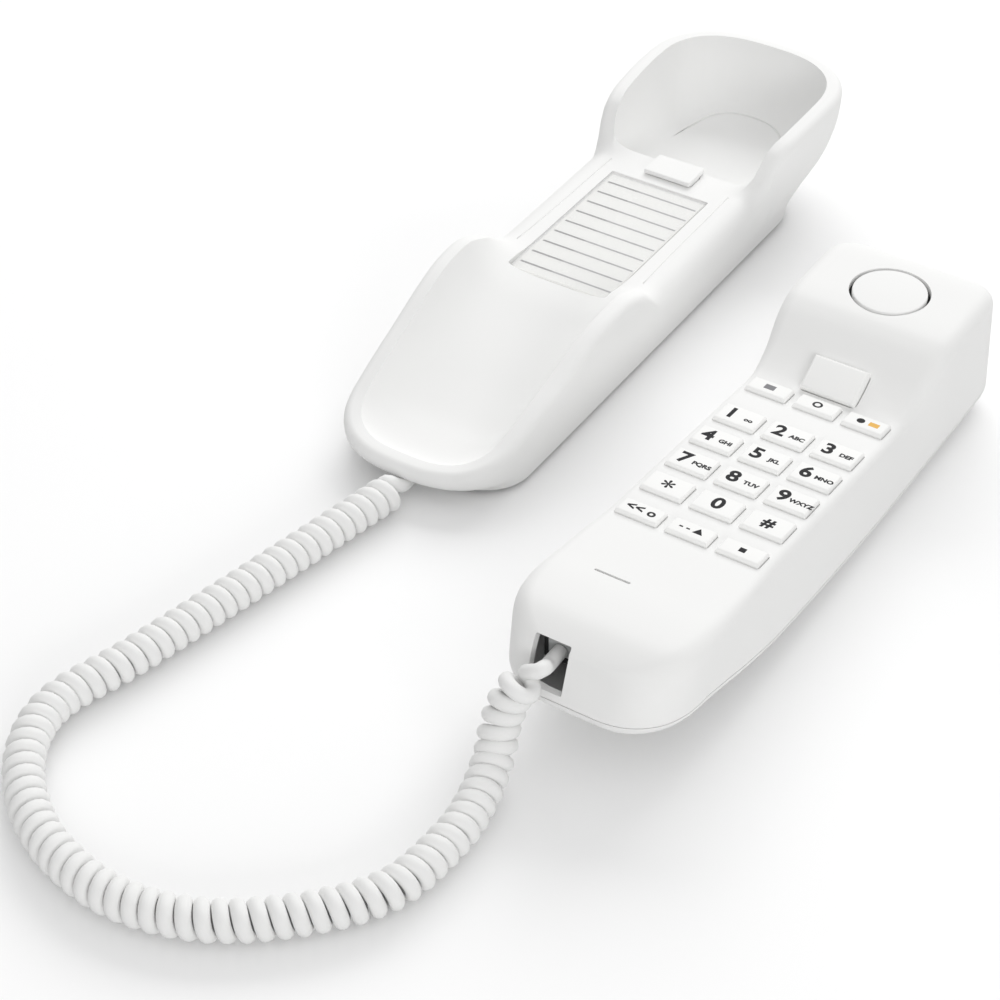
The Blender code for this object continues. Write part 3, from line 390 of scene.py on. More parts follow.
def drum(name, radius, height, centre=(0, 0, 0), sides=64, rounding=0.0):
    """A round block with rounded edges, sizes in millimetres."""
    start_piece()
    bpy.ops.mesh.primitive_cylinder_add(vertices=sides, radius=radius * MM, depth=height * MM,
                                        location=Vector(centre) * MM)
    piece = named(name)
    settle(piece)
    if rounding:
        apply_modifier(piece, "BEVEL", width=rounding * MM, segments=4, limit_method="ANGLE",
                       angle_limit=math.radians(50))
    return piece


def rolled_skin(name, rings, close_last=True):
    """Roll a grid up into a skin whose rows are the rings, and close its ends."""
    start_piece()
    count = len(rings[0])
    bpy.ops.mesh.primitive_grid_add(x_subdivisions=count, y_subdivisions=len(rings) - 1)
    piece = named(name)
    for row, ring in enumerate(rings):
        for column in range(count + 1):
            piece.data.vertices[row * (count + 1) + column].co = ring[column % count]
    settle(piece)
    bpy.ops.object.mode_set(mode="EDIT")
    bpy.ops.mesh.select_all(action="SELECT")
    bpy.ops.mesh.remove_doubles(threshold=2e-6)
    bpy.ops.mesh.select_all(action="DESELECT")
    ends = [rings[0], rings[-1]] if close_last else [rings[0]]
    for ring in ends:
        shape = bmesh.from_edit_mesh(piece.data)
        middle = sum(ring, Vector()) / count
        reach = max((point - middle).length for point in ring)
        for edge in shape.edges:
            near = all((v.co - middle).length < reach + 1e-5 for v in edge.verts)
            edge.select_set(edge.is_boundary and near)
        bmesh.update_edit_mesh(piece.data)
        bpy.ops.mesh.edge_face_add()
        bpy.ops.mesh.select_all(action="DESELECT")
    bpy.ops.mesh.select_all(action="SELECT")
    bpy.ops.mesh.normals_make_consistent(inside=False)
    bpy.ops.object.mode_set(mode="OBJECT")
    return piece


def side_prism(name, outline, half_width, place):
    """A prism across X whose side view is an outline of (y, z) points in millimetres."""
    start_piece()
    bpy.ops.mesh.primitive_circle_add(vertices=len(outline), fill_type="NGON")
    piece = named(name)
    for vertex, (y, z) in zip(piece.data.vertices, outline):
        vertex.co = Vector((-half_width, y, z)) * MM
    bpy.ops.object.mode_set(mode="EDIT")
    bpy.ops.mesh.select_all(action="SELECT")
    bpy.ops.mesh.extrude_region_move(TRANSFORM_OT_translate={"value": (2 * half_width * MM, 0, 0)})
    bpy.ops.mesh.select_all(action="SELECT")
    bpy.ops.mesh.normals_make_consistent(inside=False)
    bpy.ops.object.mode_set(mode="OBJECT")
    settle(piece, place)
    return piece


def wire(name, path, radius, resolution=4):
    """A round wire along points in metres, as a closed mesh."""
    start_piece()
    bpy.ops.curve.primitive_nurbs_path_add()
    line = named(name)
    line.data.splines.clear()
    spline = line.data.splines.new("POLY")
    spline.points.add(len(path) - 1)
    for spot, point in zip(spline.points, path):
        spot.co = (*point, 1.0)
    line.data.bevel_depth = radius * MM
    line.data.bevel_resolution = resolution
    line.data.use_fill_caps = True
    only(line)
    bpy.ops.object.convert(target="MESH")
    piece = named(name)
    settle(piece)
    return piece


def join(name, pieces):
    only(pieces[0])
    for piece in pieces[1:]:
        piece.select_set(True)
    bpy.ops.object.join()
    return named(name)


def copied(source, name, place):
    """A copy of a piece with its own mesh, in another place."""
    only(source)
    bpy.ops.object.duplicate()
    piece = named(name)
    settle(piece, place)
    return piece


def mark(name, text, size, centre, weight):
    """A printed mark as a thin mesh, lying on Z = 0, sizes in millimetres."""
    start_piece()
    bpy.ops.object.text_add()
    label = bpy.context.object
    label.data.body = text
    label.data.size = size * MM
    label.data.align_x = "CENTER"
    label.data.align_y = "CENTER"
    label.data.extrude = PRINT_HEIGHT / 2 * MM
    label.data.offset = weight * MM
    label.data.resolution_u = 4
    bpy.ops.object.convert(target="MESH")
    piece = named(name)
    piece.location = Vector((*centre, 0)) * MM
    settle(piece)
    return piece


def finish_piece(piece, finish, body, slot, *nodes):
    """Give a piece its material and its body, and hide the parts that it stands for; the slot is not used.
    """
    piece.data.materials.clear()
    piece.data.materials.append(bpy.data.materials[finish])
    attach(piece, body)
    if nodes:
        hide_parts(*nodes)


# ==================== materials
def shader_group(name, scales, outputs):
    """An empty shader node group with a place and some scales as inputs, and number outputs."""
    group = bpy.data.node_groups.new(name, "ShaderNodeTree")
    group.interface.new_socket(name="Place", in_out="INPUT", socket_type="NodeSocketVector")
    for direction, labels in (("INPUT", scales), ("OUTPUT", outputs)):
        for label in labels:
            group.interface.new_socket(name=label, in_out=direction, socket_type="NodeSocketFloat")
    return group, group.nodes.new("NodeGroupInput"), group.nodes.new("NodeGroupOutput")


def moulded_grain():
    """Fine spark-eroded grain of a moulding: a height, and a slow cloudy shade."""
    group, given, made = shader_group("moulded_grain", MOULDED_SCALES, ("Height", "Cloud"))
    fine = group.nodes.new("ShaderNodeTexNoise")
    fine.inputs["Detail"].default_value = 2.0
    pits = group.nodes.new("ShaderNodeTexVoronoi")
    pits.feature = "SMOOTH_F1"
    pits.inputs["Smoothness"].default_value = 0.6
    mixed = group.nodes.new("ShaderNodeMath")
    mixed.operation = "MULTIPLY"
    cloud = group.nodes.new("ShaderNodeTexNoise")
    cloud.inputs["Detail"].default_value = 3.0
    link = group.links.new
    for texture in (fine, pits, cloud):
        link(given.outputs["Place"], texture.inputs["Vector"])
    link(given.outputs["Grain scale"], fine.inputs["Scale"])
    link(given.outputs["Grain scale"], pits.inputs["Scale"])
    link(given.outputs["Cloud scale"], cloud.inputs["Scale"])
    link(fine.outputs["Fac"], mixed.inputs[0])
    link(pits.outputs["Distance"], mixed.inputs[1])
    link(mixed.outputs[0], made.inputs["Height"])
    link(cloud.outputs["Fac"], made.inputs["Cloud"])
    return group


def brushed_lines():
    """Long fine scratches along X of a metal face."""
    group, given, made = shader_group("brushed_lines", METAL_SCALES, ("Height",))
    stretch = group.nodes.new("ShaderNodeMapping")
    stretch.inputs["Scale"].default_value = (0.04, 1.0, 1.0)
    lines = group.nodes.new("ShaderNodeTexNoise")
    lines.inputs["Detail"].default_value = 4.0
    link = group.links.new
    link(given.outputs["Place"], stretch.inputs["Vector"])
    link(stretch.outputs["Vector"], lines.inputs["Vector"])
    link(given.outputs["Scale"], lines.inputs["Scale"])
    link(lines.outputs["Fac"], made.inputs["Height"])
    return group


def shaded(low, high, colour):
    """A darker and a lighter version of a colour."""
    return [(*(c * factor for c in colour), 1.0) for factor in (low, high)]


def new_material(name, colour, roughness, bump, group, scales, contrast, metallic=0.0, swing=0.05,
                 **sockets):
    """A material whose grain, colour and roughness vary over the surface through a group."""
    material = bpy.data.materials.new(name)
    material.use_nodes = True
    tree = material.node_tree
    shader = tree.nodes["Principled BSDF"]
    shader.inputs["Metallic"].default_value = metallic
    for socket, value in sockets.items():
        shader.inputs[socket.replace("_", " ")].default_value = value
    place = tree.nodes.new("ShaderNodeTexCoord")
    effect = tree.nodes.new("ShaderNodeGroup")
    effect.node_tree = group
    for socket, value in scales.items():
        effect.inputs[socket].default_value = value
    relief = tree.nodes.new("ShaderNodeBump")
    relief.inputs["Strength"].default_value = bump[0]
    relief.inputs["Distance"].default_value = bump[1] * MM
    tint = tree.nodes.new("ShaderNodeMix")
    tint.data_type = "RGBA"
    dark, light = shaded(1 - contrast, 1 + contrast, colour)
    tint.inputs["A"].default_value = dark
    tint.inputs["B"].default_value = light
    rough = tree.nodes.new("ShaderNodeMapRange")
    rough.inputs["To Min"].default_value = roughness - swing
    rough.inputs["To Max"].default_value = roughness + swing
    link = tree.links.new
    link(place.outputs["Object"], effect.inputs["Place"])
    varied = effect.outputs["Cloud"] if "Cloud" in effect.outputs else effect.outputs["Height"]
    link(effect.outputs["Height"], relief.inputs["Height"])
    link(relief.outputs["Normal"], shader.inputs["Normal"])
    link(varied, tint.inputs["Factor"])
    link(tint.outputs["Result"], shader.inputs["Base Color"])
    link(varied, rough.inputs["Value"])
    link(rough.outputs["Result"], shader.inputs["Roughness"])
    material.diffuse_color = (*colour, 1.0)
    return material


def make_materials(looks):
    """Every finish of the phone, one for each slot of the record and one for each printing ink."""
    grain = moulded_grain()
    brushed = brushed_lines()
    # name, colour, roughness, grain's strength and depth, texture scales, contrast
    shell = looks.shell_colour
    moulded = (("white_shell", shell, looks.shell_roughness, (0.16, 0.05), MOULDED_SCALES, 0.012),
               # plate_grey is painted shade: a near-black finish for the cradle's bottom plate, standing in
               # for the shadow in the gap between the base and the floor
               ("plate_grey", (0.045, 0.045, 0.045), 0.5, (0.16, 0.05), MOULDED_SCALES, 0.03),
               ("key_white", looks.key_colour, 0.34, (0.05, 0.03), MOULDED_SCALES, 0.008),
               ("cord_white", looks.cord_colour, 0.42, (0.10, 0.04), PLAIN_SCALES, 0.03),
               ("card_paper", (0.90, 0.90, 0.89), 0.75, (0.25, 0.05), PLAIN_SCALES, 0.02),
               ("foot_rubber", (0.10, 0.10, 0.10), 0.8, (0.3, 0.08), PLAIN_SCALES, 0.12),
               ("membrane_rubber", (0.26, 0.27, 0.28), 0.7, (0.2, 0.06), PLAIN_SCALES, 0.06),
               ("jack_black", (0.012, 0.012, 0.012), 0.45, (0.2, 0.05), PLAIN_SCALES, 0.2),
               ("board_green", (0.02, 0.10, 0.04), 0.35, (0.3, 0.05), BOARD_SCALES, 0.35),
               ("dark_ink", (0.015, 0.015, 0.017), 0.5, (0.1, 0.02), PLAIN_SCALES, 0.05),
               ("grey_ink", (0.22, 0.22, 0.23), 0.5, (0.1, 0.02), PLAIN_SCALES, 0.05),
               ("amber_ink", (0.80, 0.46, 0.10), 0.5, (0.1, 0.02), PLAIN_SCALES, 0.05))
    for name, colour, roughness, bump, scales, contrast in moulded:
        new_material(name, colour, roughness, bump, grain, scales, contrast)
    new_material("clear_plug", (0.86, 0.88, 0.88), 0.12, (0.04, 0.05), grain, PLAIN_SCALES, 0.02,
                 Transmission_Weight=0.55, IOR=1.49)
    new_material("clear_cover", (0.97, 0.97, 0.97), 0.10, (0.02, 0.02), grain, PLAIN_SCALES, 0.004,
                 swing=0.03, Alpha=0.12, IOR=1.49)
    metals = (("brass_disc", (0.72, 0.50, 0.20), 0.3, (0.2, 0.03), METAL_SCALES, 0.10, 0.08),
              ("screw_steel", (0.60, 0.60, 0.62), 0.32, (0.2, 0.03), METAL_SCALES, 0.12, 0.08),
              ("ballast_steel", (0.40, 0.40, 0.41), 0.45, (0.3, 0.05), BALLAST_SCALES, 0.15, 0.1))
    for name, colour, roughness, bump, scales, contrast, swing in metals:
        new_material(name, colour, roughness, bump, brushed, scales, contrast, 1.0, swing)


# ==================== settings
def colour_setting(label, note, level):
    return FloatVectorProperty(name=label, description=note, subtype="COLOR", size=3, min=0, max=1,
                               default=level)


def number_setting(label, note, default, low, high, **more):
    return FloatProperty(name=label, description=note, default=default, min=low, max=high, **more)


class PhoneLooks(bpy.types.PropertyGroup):
    shell_colour: colour_setting("Shell colour", "White of the mouldings", (0.45, 0.45, 0.448))
    key_colour: colour_setting("Key colour", "White of the keys", (0.56, 0.56, 0.56))
    cord_colour: colour_setting("Cord colour", "White of the cord's jacket", (0.48, 0.48, 0.48))
    shell_roughness: number_setting("Shell roughness", "Gloss of the mouldings", 0.40, 0.1, 1,
                                    subtype="FACTOR")


class PhoneSizes(bpy.types.PropertyGroup):
    ring_spacing: number_setting("Section spacing", "Distance between sections, in mm", 2.4, 1, 10)
    coil_turns: IntProperty(name="Coil turns", description="Turns of the curly cord", default=77, min=20,
                            max=120)
    wire_radius: number_setting("Wire radius", "Radius of the cord's jacket, in mm", 2.05, 1, 3)
    coil_radius: number_setting("Coil radius", "Outer radius of the coil, in mm", 5.5, 3, 8)
    key_rounding: number_setting("Key rounding", "Radius of the keys' edges, in mm", 0.7, 0.1, 1.5)


class PhoneStage(bpy.types.PropertyGroup):
    floor_size: number_setting("Floor size", "Width of the floor", 8.0, 2, 20, unit="LENGTH")
    key_light: number_setting("Main light", "Power of the large light behind, in watts", 21.0, 0, 200)
    fill_light: number_setting("Fill light", "Power of the low light at the right, in watts", 6.5, 0, 200)
    sky_top: number_setting("Sky overhead", "Brightness of the surroundings straight up", 0.84, 0, 3)
    sky_side: number_setting("Sky at the side", "Brightness of the surroundings near the floor", 0.38, 0, 3)


# ==================== cradle
def rim_half_width(station):
    ends = end_factor(station, FRONT_ROUND) * end_factor(BASE_LENGTH - station, BACK_ROUND)
    return value_at(RIM_HALF_WIDTH, station) * ends


def foot_half_width(station, inset=0.0):
    front = end_factor(station - FOOT_FRONT - inset, FOOT_FRONT_ROUND)
    back = end_factor(FOOT_BACK - inset - station, FOOT_BACK_ROUND)
    return (FOOT_HALF_WIDTH - inset) * front * back


def foot_station_under(station):
    """Where the wall below a rim station meets the skirt: drawn in at both ends."""
    if station < FRONT_BLEND:
        return FOOT_FRONT + station * (FRONT_BLEND - FOOT_FRONT) / FRONT_BLEND
    if station > WELL_EDGE:
        share = (station - WELL_EDGE) / (BASE_LENGTH - WELL_EDGE)
        return WELL_EDGE + share * (FOOT_BACK - WELL_EDGE)
    return station


def rim_stations(spacing):
    """Stations along the rim: close together round the ends and at the ear well's edge."""
    ends = [math.radians(84 * k / 14) for k in range(15)]
    front = [FRONT_ROUND * (1 - math.cos(angle)) for angle in ends]
    back = [BASE_LENGTH - BACK_ROUND * (1 - math.cos(angle)) for angle in reversed(ends)]
    return (front + steps(front[-1] + 1.5, WELL_EDGE, spacing) + [WELL_EDGE, 164.2, 164.8, 165.4]
            + steps(166.6, back[0] - 1, spacing) + back)


def cradle_rings(spacing):
    """Rings from the skirt's lower edge, up the wall, over the rim and down to the spine."""
    round_steps = [90 * k / 8 for k in range(1, 9)]
    inner_steps = [1 - 0.30 * k / 10 for k in range(10)] + [0.7 - 0.7 * k / 12 for k in range(13)]
    stations = rim_stations(spacing)
    loop = [(1, s) for s in stations] + [(-1, s) for s in reversed(stations[1:-1])]
    rings = [[] for _ in range(len(WALL_BULGE) + len(round_steps) + len(inner_steps))]
    for side, station in loop:
        rim = Vector((side * rim_half_width(station), station))
        foot_station = foot_station_under(station)
        foot = Vector((side * foot_half_width(foot_station), foot_station))
        spine = Vector((0, min(max(station, FRONT_ROUND), BASE_LENGTH - BACK_ROUND)))
        inward = (spine - rim).normalized()
        top = value_at(RIM_HEIGHT, station)
        radius = value_at(RIM_ROUND, station)
        edge = rim + inward * value_at(RIM_BAND, station)
        column = []
        for rise, spread in WALL_BULGE:
            spot = foot.lerp(rim, spread)
            column.append((spot.x, spot.y, SKIRT_BOTTOM + (top - radius - SKIRT_BOTTOM) * rise))
        for degrees in round_steps:
            angle = math.radians(degrees)
            spot = rim + inward * radius * (1 - math.cos(angle))
            column.append((spot.x, spot.y, top - radius * (1 - math.sin(angle))))
        for share in inner_steps:
            spot = spine.lerp(edge, share)
            floor = value_at(FLOOR_HEIGHT, spot.y)
            wall = share ** value_at(CUP_STEEPNESS, spot.y)
            column.append((spot.x, spot.y, floor + (top - floor) * wall))
        for ring, point in zip(rings, column):
            ring.append(on_base(*point))
    return rings


def cradle_hollow():
    """The room under the cradle floor, a wall's thickness inside the shell."""
    front = [FOOT_FRONT + BASE_WALL + FOOT_FRONT_ROUND * (1 - math.cos(math.radians(10 * k)))
             for k in range(10)]
    back = [FOOT_BACK - BASE_WALL - FOOT_BACK_ROUND * (1 - math.cos(math.radians(90 - 10 * k)))
            for k in range(10)]
    middle = [38, 55, 70, 82, 92, WELL_EDGE - BASE_WALL, WELL_EDGE - BASE_WALL + 0.2]
    rings = []
    for station in [front[0] + 0.05, *front[1:], *middle, *back[:-1], back[-1] - 0.05]:
        half = foot_half_width(station, BASE_WALL)
        ahead = station + 2 * BASE_WALL if station > WELL_EDGE - BASE_WALL else station
        top = value_at(FLOOR_HEIGHT, ahead) - BASE_WALL
        low = SKIRT_BOTTOM - 2
        section = ((-half, low), (half, low), (half, top), (-half, top))
        rings.append([on_base(x, station, z) for x, z in section])
    return rolled_skin("cradle_hollow", rings)


def floor_line(name, points, depth, side=1):
    """A wire that lies on the cradle's floor and cuts a fine line in it."""
    flat = smooth_route([(side * x, station, 0) for x, station in points], 8 * len(points))
    return wire(name, [on_base(p.x, p.y, value_at(FLOOR_HEIGHT, p.y)) for p in flat], depth, 2)


class PHONE_OT_cradle_shell(bpy.types.Operator):
    """Model the cradle's shell with its two cups, the card's recess and the openings"""
    bl_idname = "phone.cradle_shell"
    bl_label = "Cradle shell"

    def execute(self, context):
        shell = rolled_skin("cradle_shell", cradle_rings(context.scene.phone_sizes.ring_spacing), False)
        cut(shell, cradle_hollow())
        recess = (CARD_WIDTH + 2 * CARD_CLEARANCE, CARD_LENGTH + 2 * CARD_CLEARANCE, 2 * CARD_RECESS)
        cut(shell, block("card_recess", recess, on_base(0, CARD_CENTRE, BRIDGE_TOP) / MM, 0.5))
        low, high = box_mm("hanger_tab")
        slot = (high.x - low.x + 2 * TAB_CLEARANCE, TAB_SLOT_LENGTH, TAB_SLOT_DEPTH)
        middle = ((low.x + high.x) / 2, low.y + TAB_SLOT_MIDDLE, BRIDGE_TOP)
        cut(shell, block("tab_slot", slot, middle, 0.4))
        arch = (ARCH_WIDTH, ARCH_REACH, 2 * (ARCH_HEIGHT - SKIRT_BOTTOM) + 1.0)
        cut(shell, block("cord_arch", arch, on_base(0, FOOT_FRONT, SKIRT_BOTTOM - 0.5) / MM, 1.8, 5))
        low, high = box_mm("line_jack")
        inlet = (3 * BASE_WALL, high.y - low.y - 2 * SOCKET_LIP, high.z - low.z - 2 * SOCKET_LIP)
        middle = on_base(-FOOT_HALF_WIDTH, LINE_SOCKET_STATION, (low.z + high.z) / 2) / MM
        cut(shell, block("line_inlet", inlet, middle, 0.3))
        cut(shell, floor_line("well_line", WELL_LINE, WELL_LINE_DEPTH))
        for side in (-1, 1):
            cut(shell, floor_line("bridge_line", BRIDGE_LINE, BRIDGE_LINE_DEPTH, side))
        smooth(shell, 38)
        finish_piece(shell, "white_shell", "base", "white_shell", "base_shell")
        return {"FINISHED"}


class PHONE_OT_number_card(bpy.types.Operator):
    """Model the ruled number card and its clear cover"""
    bl_idname = "phone.number_card"
    bl_label = "Number card"

    def execute(self, context):
        low, high = box_mm("index_card")
        card = block("number_card", high - low, (low + high) / 2, 0.06, 2)
        finish_piece(card, "card_paper", "base", "card_paper", "index_card")
        left = (low.x + high.x) / 2 - LINE_LENGTH / 2
        first = (low.y + high.y) / 2 - LINE_PITCH * (LINE_COUNT - 1) / 2
        top = high.z + LINE_THICKNESS / 2
        for name, start, end, ink in (("card_line_starts", 0, LINE_START, "dark_ink"),
                                      ("card_lines", LINE_START, LINE_LENGTH, "grey_ink")):
            bars = [block("bar", (end - start, LINE_WIDTH, LINE_THICKNESS),
                          (left + (start + end) / 2, first + LINE_PITCH * k, top))
                    for k in range(LINE_COUNT)]
            finish_piece(join(name, bars), ink, "base", "card_paper")
        low, high = box_mm("card_cover")
        cover = block("card_window", high - low, (low + high) / 2, 0.2, 3)
        smooth(cover)
        finish_piece(cover, "clear_cover", "base", "clear_cover", "card_cover")
        return {"FINISHED"}


# ==================== handset
def handset_ring(station, inset=0.0):
    """One closed section of the handset, drawn in by an inset."""
    mouth = end_factor(station - inset, MOUTH_ROUND, 2.2)
    ear = end_factor(HANDSET_LENGTH - inset - station, EAR_ROUND, 2.4)
    plan = (0.42 + 0.58 * mouth) * (0.5 + 0.5 * ear)
    top = value_at(FACE_HEIGHT, station) - inset - 5 * (1 - mouth) - 5 * (1 - ear)
    low = value_at(BACK_HEIGHT, station) + inset + 6 * (1 - mouth) + 9 * (1 - ear)
    half_top = (value_at(FACE_HALF_WIDTH, station) - inset) * plan
    half_body = (value_at(BODY_HALF_WIDTH, station) - inset) * plan
    corner = max(value_at(FACE_ROUND, station) - inset, 0.6)
    seam = min(low + max(SEAM_RISE - inset / 2, 3), top - corner - 0.8)
    lean = MOUTH_LEAN * max(0.0, 1 - station / LEAN_REACH) ** 1.5
    flat = half_body * BACK_FLAT
    points = [(0, low), (flat * 0.3, low + 0.02), (flat * 0.6, low + 0.05), (flat, low + 0.2)]
    for degrees in range(10, 91, 10):
        angle = math.radians(degrees)
        points.append((flat + (half_body - flat) * math.sin(angle),
                       seam - (seam - low - 0.2) * math.cos(angle)))
    for share in (0.2, 0.4, 0.6, 0.8):
        points.append((half_body + (half_top - half_body) * share,
                       seam + (top - corner - seam) * share))
    for degrees in range(0, 91, 10):
        angle = math.radians(degrees)
        points.append((half_top - corner * (1 - math.cos(angle)), top - corner * (1 - math.sin(angle))))
    for share in (0.75, 0.5, 0.25):
        points.append(((half_top - corner) * share, top))
    points.append((0, top))
    mirrored = [(-x, z) for x, z in reversed(points[1:-1])]
    return [on_handset(x, station - lean * (top - z) / (top - low), z) for x, z in points + mirrored]


def handset_body(name, inset, spacing):
    mouth = [inset + MOUTH_ROUND * (1 - math.cos(math.radians(a))) for a in range(0, 80, 6)]
    ear = [HANDSET_LENGTH - inset - EAR_ROUND * (1 - math.cos(math.radians(a)))
           for a in range(72, -1, -6)]
    middle = steps(18, 132, spacing) + steps(132, 162, 1.2) + steps(162, ear[0] - 1, spacing)
    return rolled_skin(name, [handset_ring(station, inset) for station in mouth + middle + ear])


def seam_cutter(name, offset, side):
    """Everything above (side 1) or below (side -1) the seam."""
    stations = [-10, 0, 20, *steps(30, 150, 8), 170, HANDSET_LENGTH + 10]
    edge = [(s, value_at(BACK_HEIGHT, s) + SEAM_RISE + offset) for s in stations]
    far = 80.0 * side
    return side_prism(name, [*edge, (stations[-1], far), (stations[0], far)], 50, turned(on_handset()))


def key_table():
    """Name, column place, row place and size of each key."""
    keys = []
    for number, (name, _, _) in enumerate(NUMBER_KEYS):
        line, column = divmod(number, 3)
        keys.append((name, (column - 1) * KEY_PITCH_X, (1 - line) * KEY_PITCH_Y, KEY_SIZE))
    for row, names in ((TOP_ROW, TOP_KEYS), (BOTTOM_ROW, BOTTOM_KEYS)):
        for column, name in enumerate(names):
            keys.append((name, (column - 1) * KEY_PITCH_X, row, FUNCTION_KEY_SIZE))
    return keys


class PHONE_OT_handset_shells(bpy.types.Operator):
    """Model the handset's keypad half and back half with their openings"""
    bl_idname = "phone.handset_shells"
    bl_label = "Handset shells"

    def execute(self, context):
        spacing = context.scene.phone_sizes.ring_spacing
        front = handset_body("handset_front", 0.0, spacing)
        cut(front, handset_body("front_hollow", HANDSET_WALL, 3 * spacing))
        back = copied(front, "handset_back", Matrix.Identity(4))
        cut(front, seam_cutter("below_seam", SEAM_GAP / 2, -1))
        cut(back, seam_cutter("above_seam", -SEAM_GAP / 2, 1))
        for name, x, row, (width, height) in key_table():
            hole = (width + 2 * KEY_CLEARANCE, height + 2 * KEY_CLEARANCE, 4 * HANDSET_WALL)
            opening = block("key_hole", hole, rounding=0.8, segments=4)
            settle(opening, face_place(x, row))
            cut(front, opening)
        size = (HOOK_SIZE[0] + 2 * KEY_CLEARANCE, HOOK_SIZE[1] + 2 * KEY_CLEARANCE, HOOK_HOLE_DEPTH)
        opening = block("hook_hole", size, (0, 0, -3), 1.6, 5)
        settle(opening, hook_place())
        cut(front, opening)
        ear_top = value_at(FACE_HEIGHT, EARPIECE_STATION)
        mic_top = value_at(FACE_HEIGHT, MIC_STATION)
        cut(front, drum("ear_opening", EARPIECE_RADIUS + EARPIECE_GROOVE, 4 * HANDSET_WALL,
                        on_handset(0, EARPIECE_STATION, ear_top) / MM, 96))
        cut(front, block("mic_slot", (*MIC_SLOT, 4 * HANDSET_WALL),
                         on_handset(MIC_X, MIC_STATION, mic_top) / MM, 0.3))
        cut(front, block("jack_opening", JACK_OPENING, on_handset(JACK_X, 0, JACK_Z) / MM, 0.5))
        for number in (1, 2):
            low, high = box_mm(f"handset_screw_{number}")
            middle = ((low.x + high.x) / 2, (low.y + high.y) / 2, low.z)
            cut(back, drum("screw_recess", SCREW_RECESS_RADIUS, 2 * SCREW_RECESS_DEPTH, middle, 32))
        for shell, node in ((front, "handset_front_shell"), (back, "handset_back_shell")):
            smooth(shell, 38)
            finish_piece(shell, "white_shell", "handset", "white_shell", node)
        return {"FINISHED"}


class PHONE_OT_earpiece(bpy.types.Operator):
    """Model the round earpiece cover, slightly domed"""
    bl_idname = "phone.earpiece"
    bl_label = "Earpiece cover"

    def execute(self, context):
        low, high = box_mm("earpiece_cover")
        cover = drum("earpiece_disc", EARPIECE_RADIUS, EARPIECE_THICKNESS, (low + high) / 2, 96,
                     EARPIECE_EDGE)
        smooth(cover)
        finish_piece(cover, "white_shell", "handset", "white_shell", "earpiece_cover")
        return {"FINISHED"}


def key_cap(size, rise, corner, rounding):
    """One key: a raised pad with rounded corners and softened top edge."""
    cap = block("key_pattern", size, (0, 0, rise - size[2] / 2))
    bpy.ops.object.mode_set(mode="EDIT")
    shape = bmesh.from_edit_mesh(cap.data)
    for edge in shape.edges:
        across = edge.verts[0].co - edge.verts[1].co
        edge.select_set(abs(across.z) > 1e-5)
    bmesh.update_edit_mesh(cap.data)
    bpy.ops.mesh.bevel(offset=corner * MM, segments=5, affect="EDGES")
    shape = bmesh.from_edit_mesh(cap.data)
    for face in shape.faces:
        face.select_set(False)
    for edge in shape.edges:
        edge.select_set(all(v.co.z > (rise - 0.01) * MM for v in edge.verts))
    bmesh.update_edit_mesh(cap.data)
    bpy.ops.mesh.bevel(offset=rounding * MM, segments=4, affect="EDGES")
    bpy.ops.object.mode_set(mode="OBJECT")
    smooth(cap, 40)
    return cap


class PHONE_OT_keys(bpy.types.Operator):
    """Model one key of each size and copy it to every place"""
    bl_idname = "phone.keys"
    bl_label = "Keys"

    def execute(self, context):
        rounding = context.scene.phone_sizes.key_rounding
        patterns = {size: key_cap((*size, KEY_DEPTH), KEY_RISE, KEY_CORNER, rounding)
                    for size in (KEY_SIZE, FUNCTION_KEY_SIZE)}
        for name, x, row, size in key_table():
            key = copied(patterns[size], f"keycap_{name}", face_place(x, row))
            finish_piece(key, "key_white", f"key_{name}", "key_white", f"key_{name}")
        for pattern in patterns.values():
            bpy.data.objects.remove(pattern, do_unlink=True)
        hook = key_cap((*HOOK_SIZE, HOOK_THICKNESS), HOOK_RISE, HOOK_CORNER, HOOK_ROUNDING)
        hook.name = "hook_keycap"
        settle(hook, hook_place())
        smooth(hook, 40)
        finish_piece(hook, "key_white", "hook_key", "key_white", "hook_key")
        return {"FINISHED"}


def print_on_key(name, marks, key, place, ink):
    """Join the marks of one key and lay them on its top."""
    legend = join(name, marks) if len(marks) > 1 else marks[0]
    legend.name = name
    legend.data.name = name
    settle(legend, place)
    finish_piece(legend, ink, f"key_{key}", "key_white")


